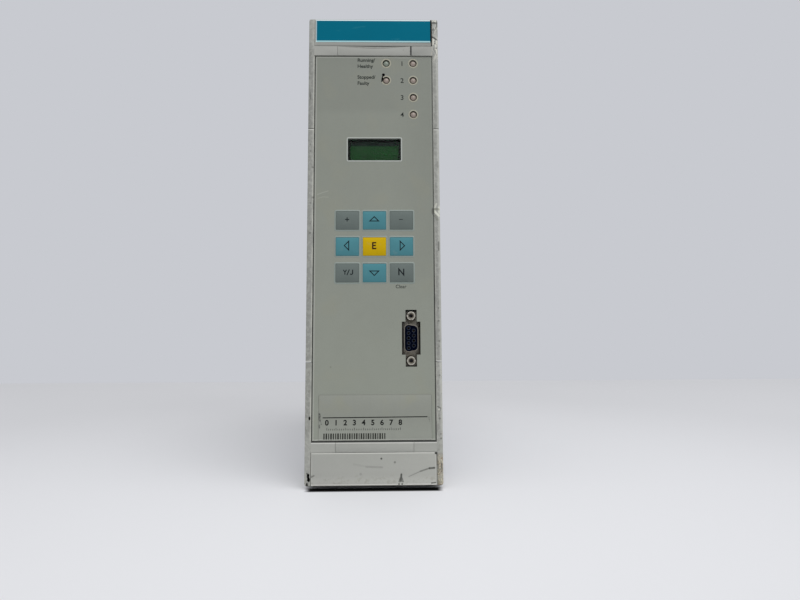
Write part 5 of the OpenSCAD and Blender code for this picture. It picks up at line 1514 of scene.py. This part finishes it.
class RELAY_OT_terminals(bpy.types.Operator):
    """Finish the terminal blocks and their screws, and number the poles"""

    bl_idname = "relay.terminals"
    bl_label = "Terminals"

    def execute(self, context):
        settings = context.scene.relay_hardware
        black = moulded("black_plastic", settings.black_tone, roughness=0.5, dust=0.05)
        dress(black, "upper_block", "lower_block", "current_block", edge=0.12)
        dress(black, "card_guides", "battery_holder")
        dress(worn_metal("block_screw_steel", settings.steel_tone, 0.4), "block_screws")
        dress(worn_metal("brass_parts", settings.brass_tone, 0.35), "current_screws", "earth_stud", edge=0.08)
        numerals = []
        for node in ("upper_block", "lower_block"):
            low, high = box(node)
            centre = middle(node)[0]
            screws = [place for place in middles("block_screws") if low[2] < place[2] < high[2]]
            for count, place in enumerate(by_column(screws, centre)):
                across = -centre - np.sign(place[0] - centre) * NUMERAL_OUT
                numerals.append((str(count + 1), across, place[2], high[1], POLE_NUMERAL))
        bodies = bodies_of("current_screws")
        plates = [(low + high) / 2 for low, high in bodies if high[0] - low[0] > PLATE_WIDTH]
        cells = by_column(plates, middle("current_block")[0])
        half_step = abs(cells[1][2] - cells[0][2]) / 2
        back = back_of("current_block")
        for count, place in enumerate(cells):
            numerals.append((str(count + 1), -place[0], place[2] + half_step, back, CELL_NUMERAL))
        shapes = [
            on_rear(lettering(text, height, across, z - height / 2, 0.04), level)
            for text, across, z, level, height in numerals
        ]
        white = plain_ink("terminal_white", linear(214, 214, 208), 0.4)
        piece("terminal_numbers", merged(*shapes), white, smooth=False)
        stud = middle("earth_stud")
        core, start, end = 1.96, -9.6, -0.25
        thread = threaded(core, settings.thread_depth, settings.thread_pitch, start, end, [(-stud[0], stud[2])])
        brass = worn_metal("thread_brass", settings.brass_tone, 0.3)
        piece("stud_thread", on_rear(thread, back_of("earth_stud")), brass)
        return {"FINISHED"}


class RELAY_OT_boards(bpy.types.Operator):
    """Finish the boards and what stands on them, with pins, solder joints and small parts"""

    bl_idname = "relay.boards"
    bl_label = "Electronics"

    def execute(self, context):
        settings = context.scene.relay_boards
        dress(board_laminate(settings), "operator_board", "cpu_board", "io_board")
        chip = moulded("chip_black", linear(30, 30, 32), grain=0.2, roughness=0.5)
        dress(chip, "processor", "memory_chips")
        dress(battery_wrap(), "battery")
        dress(sleeve_film(), "capacitors")
        dress(moulded("relay_case", linear(38, 62, 116), roughness=0.3, Coat_Weight=0.3), "output_relays")
        dress(moulded("opto_white", linear(216, 214, 202), roughness=0.4), "optocouplers")
        dress(core_and_coil(settings), "power_transformer", "current_transformers")
        dress(flat_cable(), "ribbon_cable")
        tin = worn_metal("lead_tin", linear(196, 196, 192), 0.15)
        for name, node, board, sides, pitch in (
            ("processor_pins", "processor", "cpu_board", (0, 1, 2, 3), settings.pin_pitch),
            ("memory_pins", "memory_chips", "cpu_board", (1, 3), settings.pin_pitch),
            ("opto_pins", "optocouplers", "io_board", (0, 2), 2.54),
        ):
            piece(name, on_right(leads_round(node, sides, pitch), right_of(board)), tin)
        solder_joints(settings, tin)
        small_parts(tin)
        capacitor_tops(tin)
        relay_numbers()
        return {"FINISHED"}


def lead_grid(c, s, foot):
    """One bent lead: a flat strip carried along a path that leaves the chip level, bends down and ends in
    a foot on the board, turned round the chip by an angle of that cosine and sine."""
    half_w, half_t = 0.21, 0.07
    bend = [(0.75, foot - 0.2), (1.0, 0.25), (1.25, half_t)]
    path = np.array([(-0.3, foot), (0.45, foot), *bend, (2.0, half_t)])
    strip = np.array([(-half_w, -half_t), (half_w, -half_t), (half_w, half_t), (-half_w, half_t)])
    out, side = np.broadcast_arrays(path[None, :, 0], strip[:, None, 0])
    return np.stack([out * c - side * s, out * s + side * c, path[None, :, 1] + strip[:, None, 1]], axis=-1)


def leads_round(node, sides, pitch):
    """Leads along the named sides of every chip of a node: 0 is +Y, 1 is +Z, 2 is -Y and 3 is -Z."""
    shapes = []
    for low, high in bodies_of(node):
        centre, half = (low + high)[1:] / 2, (high - low)[1:] / 2
        foot = (high[0] - low[0]) * 0.45
        for turn in sides:
            run, off = (half[1], half[0]) if turn % 2 == 0 else (half[0], half[1])
            count = int((2 * run - pitch) / pitch) + 1
            along = (np.arange(count) - (count - 1) / 2) * pitch
            c, s = math.cos(turn * math.pi / 2), math.sin(turn * math.pi / 2)
            places = np.stack([centre[0] + off * c - along * s, centre[1] + off * s + along * c], axis=1)
            shapes.append(solid(lead_grid(c, s, foot)[None] + spread(places)))
    return merged(*shapes)


# Where the leads of the parts on the input board come through it, as shares of each part's length and
# width from its middle.
JOINTS = {
    "output_relays": ((-0.4, 0), (-0.15, 0.3), (-0.15, -0.3), (0.4, 0.3), (0.4, -0.3)),
    "power_transformer": ((-0.38, -0.3), (-0.38, 0), (-0.38, 0.3), (0.38, -0.3), (0.38, 0), (0.38, 0.3)),
    "current_transformers": ((-0.35, -0.3), (-0.35, 0.3), (0.35, -0.3), (0.35, 0.3)),
    "capacitors": ((0, -0.22), (0, 0.22)),
}
# What already stands on each upright board.
STANDING = {
    "cpu_board": ("processor", "memory_chips", "battery_holder", "ribbon_cable"),
    "io_board": ("power_transformer", "capacitors", "output_relays", "current_transformers", "optocouplers"),
}


def solder_joints(settings, tin):
    """Soldered ends on the far side of the input board, under the parts whose leads pass through it."""
    places = [
        (-((low + high)[1] / 2 + (high - low)[1] * a), (low + high)[2] / 2 + (high - low)[2] * b)
        for node, offsets in JOINTS.items() for low, high in bodies_of(node) for a, b in offsets
    ]
    r = settings.joint / 2
    cone = [(r, FOOT), (r, 0.06), (r * 0.55, 0.45), (r * 0.34, 0.95), (r * 0.3, 1.35)]
    piece("solder_joints", on_left(turned(cone, places, 12), box("io_board")[0][0]), tin)


def small_parts(tin):
    """Chip resistors and capacitors in the free places of the two upright boards, laid out on a grid
    that skips whatever already stands there."""
    draw = np.random.default_rng(7)
    step_y, step_z, margin_y, margin_z, jitter, kept = 5.5, 4.0, 4, 3, 0.4, 0.42
    bodies, ends = [], []
    for board, standing in STANDING.items():
        low, high = box(board)
        y = np.arange(low[1] + 6, high[1] - 5, step_y)
        y, z = np.meshgrid(y, np.arange(low[2] + 8, high[2] - 7, step_z))
        places = np.stack([y.ravel(), z.ravel()], axis=1) + draw.uniform(-jitter, jitter, (y.size, 2))
        clear = np.ones(len(places), bool)
        for (_, front, foot), (_, back, head) in (pair for node in standing for pair in bodies_of(node)):
            clear &= (
                (places[:, 0] < front - margin_y) | (places[:, 0] > back + margin_y)
                | (places[:, 1] < foot - margin_z) | (places[:, 1] > head + margin_z)
            )
        places = places[clear & (draw.random(len(places)) < kept)]
        tips = np.concatenate([places + [-0.9, 0], places + [0.9, 0]])
        bodies.append(on_right(bevelled(1.5, 1.25, 0.55, 0.06, places), high[0]))
        ends.append(on_right(bevelled(0.4, 1.3, 0.58, 0.06, tips), high[0]))
    piece("small_parts", merged(*bodies), moulded("small_part", linear(44, 40, 38), grain=0.2))
    piece("small_part_ends", merged(*ends), tin)


def capacitor_tops(tin):
    """The bare aluminium top of each capacitor, with its cross-shaped vent."""
    shapes = []
    for low, high in bodies_of("capacitors"):
        place = (low + high)[1:] / 2
        radius = (high[1] - low[1]) / 2 - 2.0
        shapes.append(turned([(radius, FOOT), (radius, 0.05), (radius - 0.2, 0.1), (0.2, 0.1)], [place]))
        for run in ((0.55, 0), (0, 0.55)):
            ends = [place - np.multiply(run, radius), place + np.multiply(run, radius)]
            shapes.append(line(ends, 0.35, 0.05, 0.16 + run[0] * 0.02))
    piece("capacitor_tops", on_right(merged(*shapes), right_of("capacitors")), tin)


def relay_numbers():
    """Plain numbers on the output relays' cases."""
    places = sorted(middles("output_relays"), key=lambda place: -place[2])
    words = [
        lettering("K" + str(count + 1), 3.2, place[1], place[2] - 1.6, 0.03, 0.01)
        for count, place in enumerate(places)
    ]
    white = plain_ink("relay_white", linear(220, 222, 224), 0.2)
    level = right_of("output_relays")
    piece("relay_numbers", on_right(merged(*words), level), white, smooth=False)


class RELAY_OT_stage(bpy.types.Operator):
    """Set up the pale floor, the soft light and the camera"""

    bl_idname = "relay.stage"
    bl_label = "Stage"

    def execute(self, context):
        stage = context.scene.relay_stage
        foot, reach = CAD_BOX[0].z, stage.floor_reach
        slope = float((box("housing_shell")[0][2] - foot / MM) / box("rear_plate")[0][1])
        corners = [(-reach, -reach), (reach, -reach), (reach, stage.floor_far), (-reach, stage.floor_far)]
        mesh = bpy.data.meshes.new("floor")
        mesh.from_pydata([(x, y, foot + y * slope) for x, y in corners], [], [(0, 1, 2, 3)])
        mesh.materials.append(floor_finish(stage))
        floor = bpy.data.objects.new("floor", mesh)
        context.collection.objects.link(floor)
        backdrop_light(context.scene, stage)
        soft_lamp("softbox", (0.45, -1.0, 1.4), 1.8, stage.softbox)
        camera = bpy.data.objects.new("camera", bpy.data.cameras.new("camera"))
        camera.data.lens = stage.lens
        camera.data.sensor_width = 36
        camera.data.clip_start = 0.01
        camera.location = stage.eye
        camera.rotation_euler = Euler(stage.aim)
        context.collection.objects.link(camera)
        context.scene.camera = camera
        context.scene.view_settings.view_transform = "Standard"
        return {"FINISHED"}


def floor_finish(stage):
    """The floor: matt and pale, with a painted pool of light round the relay and a painted shadow in front of
    its foot, and clear from below so that the underside can be looked at.
    """
    finish = Finish("floor", Roughness=0.9, Specular_IOR_Level=0.1)
    # Painted light: a brighter pool round the relay; painted shadow: a dark strip just in front of its foot.
    near = finish.away(finish.x - 5, finish.y + 20).below(40, 420)
    shadow = abs(finish.x).below(34, 4) * finish.y.between(-31.7, -27, 2.4)
    colour = finish.layered(
        stage.floor_tone, (finish.noise(300, 2) * 0.3, 200, 201, 206), (near, 233, 234, 238), (shadow, 2, 2, 2)
    )
    material = finish.use(colour)
    below = finish.node("ShaderNodeNewGeometry").outputs["Backfacing"]
    clear = finish.node("ShaderNodeBsdfTransparent")
    mix = finish.node("ShaderNodeMixShader", {}, {0: below, 1: finish.shader.outputs[0], 2: clear.outputs[0]})
    output = next(n for n in finish.tree.nodes if n.type == "OUTPUT_MATERIAL")
    finish.tree.links.new(mix.outputs[0], output.inputs["Surface"])
    return material


def backdrop_light(scene, stage):
    """An even world light, which the camera, reflections and glass see as the pale backdrop."""
    world = bpy.data.worlds.new("backdrop")
    world.use_nodes = True
    wiring = Wiring(world.node_tree)
    path = wiring.node("ShaderNodeLightPath").outputs
    seen = wiring.math("MAXIMUM", path["Is Glossy Ray"], path["Is Transmission Ray"])
    seen = seen.most(path["Is Camera Ray"])
    light = wiring.node("ShaderNodeBackground", {}, {"Color": (1, 1, 1), "Strength": stage.sky})
    wall = wiring.node("ShaderNodeBackground", {}, {"Color": stage.wall_tone, "Strength": 1.0})
    mix = wiring.node("ShaderNodeMixShader", {}, {0: seen, 1: light.outputs[0], 2: wall.outputs[0]})
    wiring.node("ShaderNodeOutputWorld", {}, {"Surface": mix.outputs[0]})
    scene.world = world


def soft_lamp(name, place, size, power):
    """A square area lamp that looks at the relay's middle."""
    lamp = bpy.data.lights.new(name, "AREA")
    lamp.shape, lamp.size, lamp.energy = "SQUARE", size, power
    made = bpy.data.objects.new(name, lamp)
    made.location = place
    low, high = CAD_BOX
    aim = (low + high) / 2 - made.location
    made.rotation_mode = "QUATERNION"
    made.rotation_quaternion = aim.to_track_quat("-Z", "Y")
    bpy.context.collection.objects.link(made)


OPERATORS = (
    RELAY_OT_painted_frame,
    RELAY_OT_front_panel,
    RELAY_OT_front_print,
    RELAY_OT_display,
    RELAY_OT_lamps,
    RELAY_OT_keys,
    RELAY_OT_ports,
    RELAY_OT_housing,
    RELAY_OT_terminals,
    RELAY_OT_boards,
    RELAY_OT_stage,
)


class RELAY_PT_dressing(bpy.types.Panel):
    """Lists the dressing's settings and steps in the sidebar"""

    bl_label = "Relay dressing"
    bl_space_type = "VIEW_3D"
    bl_region_type = "UI"
    bl_category = "Relay"

    def draw(self, context):
        for name, group in SETTINGS.items():
            section = self.layout.box()
            section.label(text=group.__doc__.split(",")[0].rstrip("."))
            for key in group.__annotations__:
                section.prop(getattr(context.scene, name), key)
        for step in OPERATORS:
            self.layout.operator(step.bl_idname)


CLASSES = (*SETTINGS.values(), *OPERATORS, RELAY_PT_dressing)


def register():
    """Registers the classes and hangs the settings on the scene."""
    for cls in CLASSES:
        bpy.utils.register_class(cls)
    for name, group in SETTINGS.items():
        setattr(bpy.types.Scene, name, PointerProperty(type=group))


def unregister():
    """Takes the settings and the classes away again."""
    for name in SETTINGS:
        delattr(bpy.types.Scene, name)
    for cls in reversed(CLASSES):
        bpy.utils.unregister_class(cls)


def main():
    register()
    for step in OPERATORS:
        group, _, action = step.bl_idname.partition(".")
        getattr(getattr(bpy.ops, group), action)()


if __name__ == "__main__":
    main()
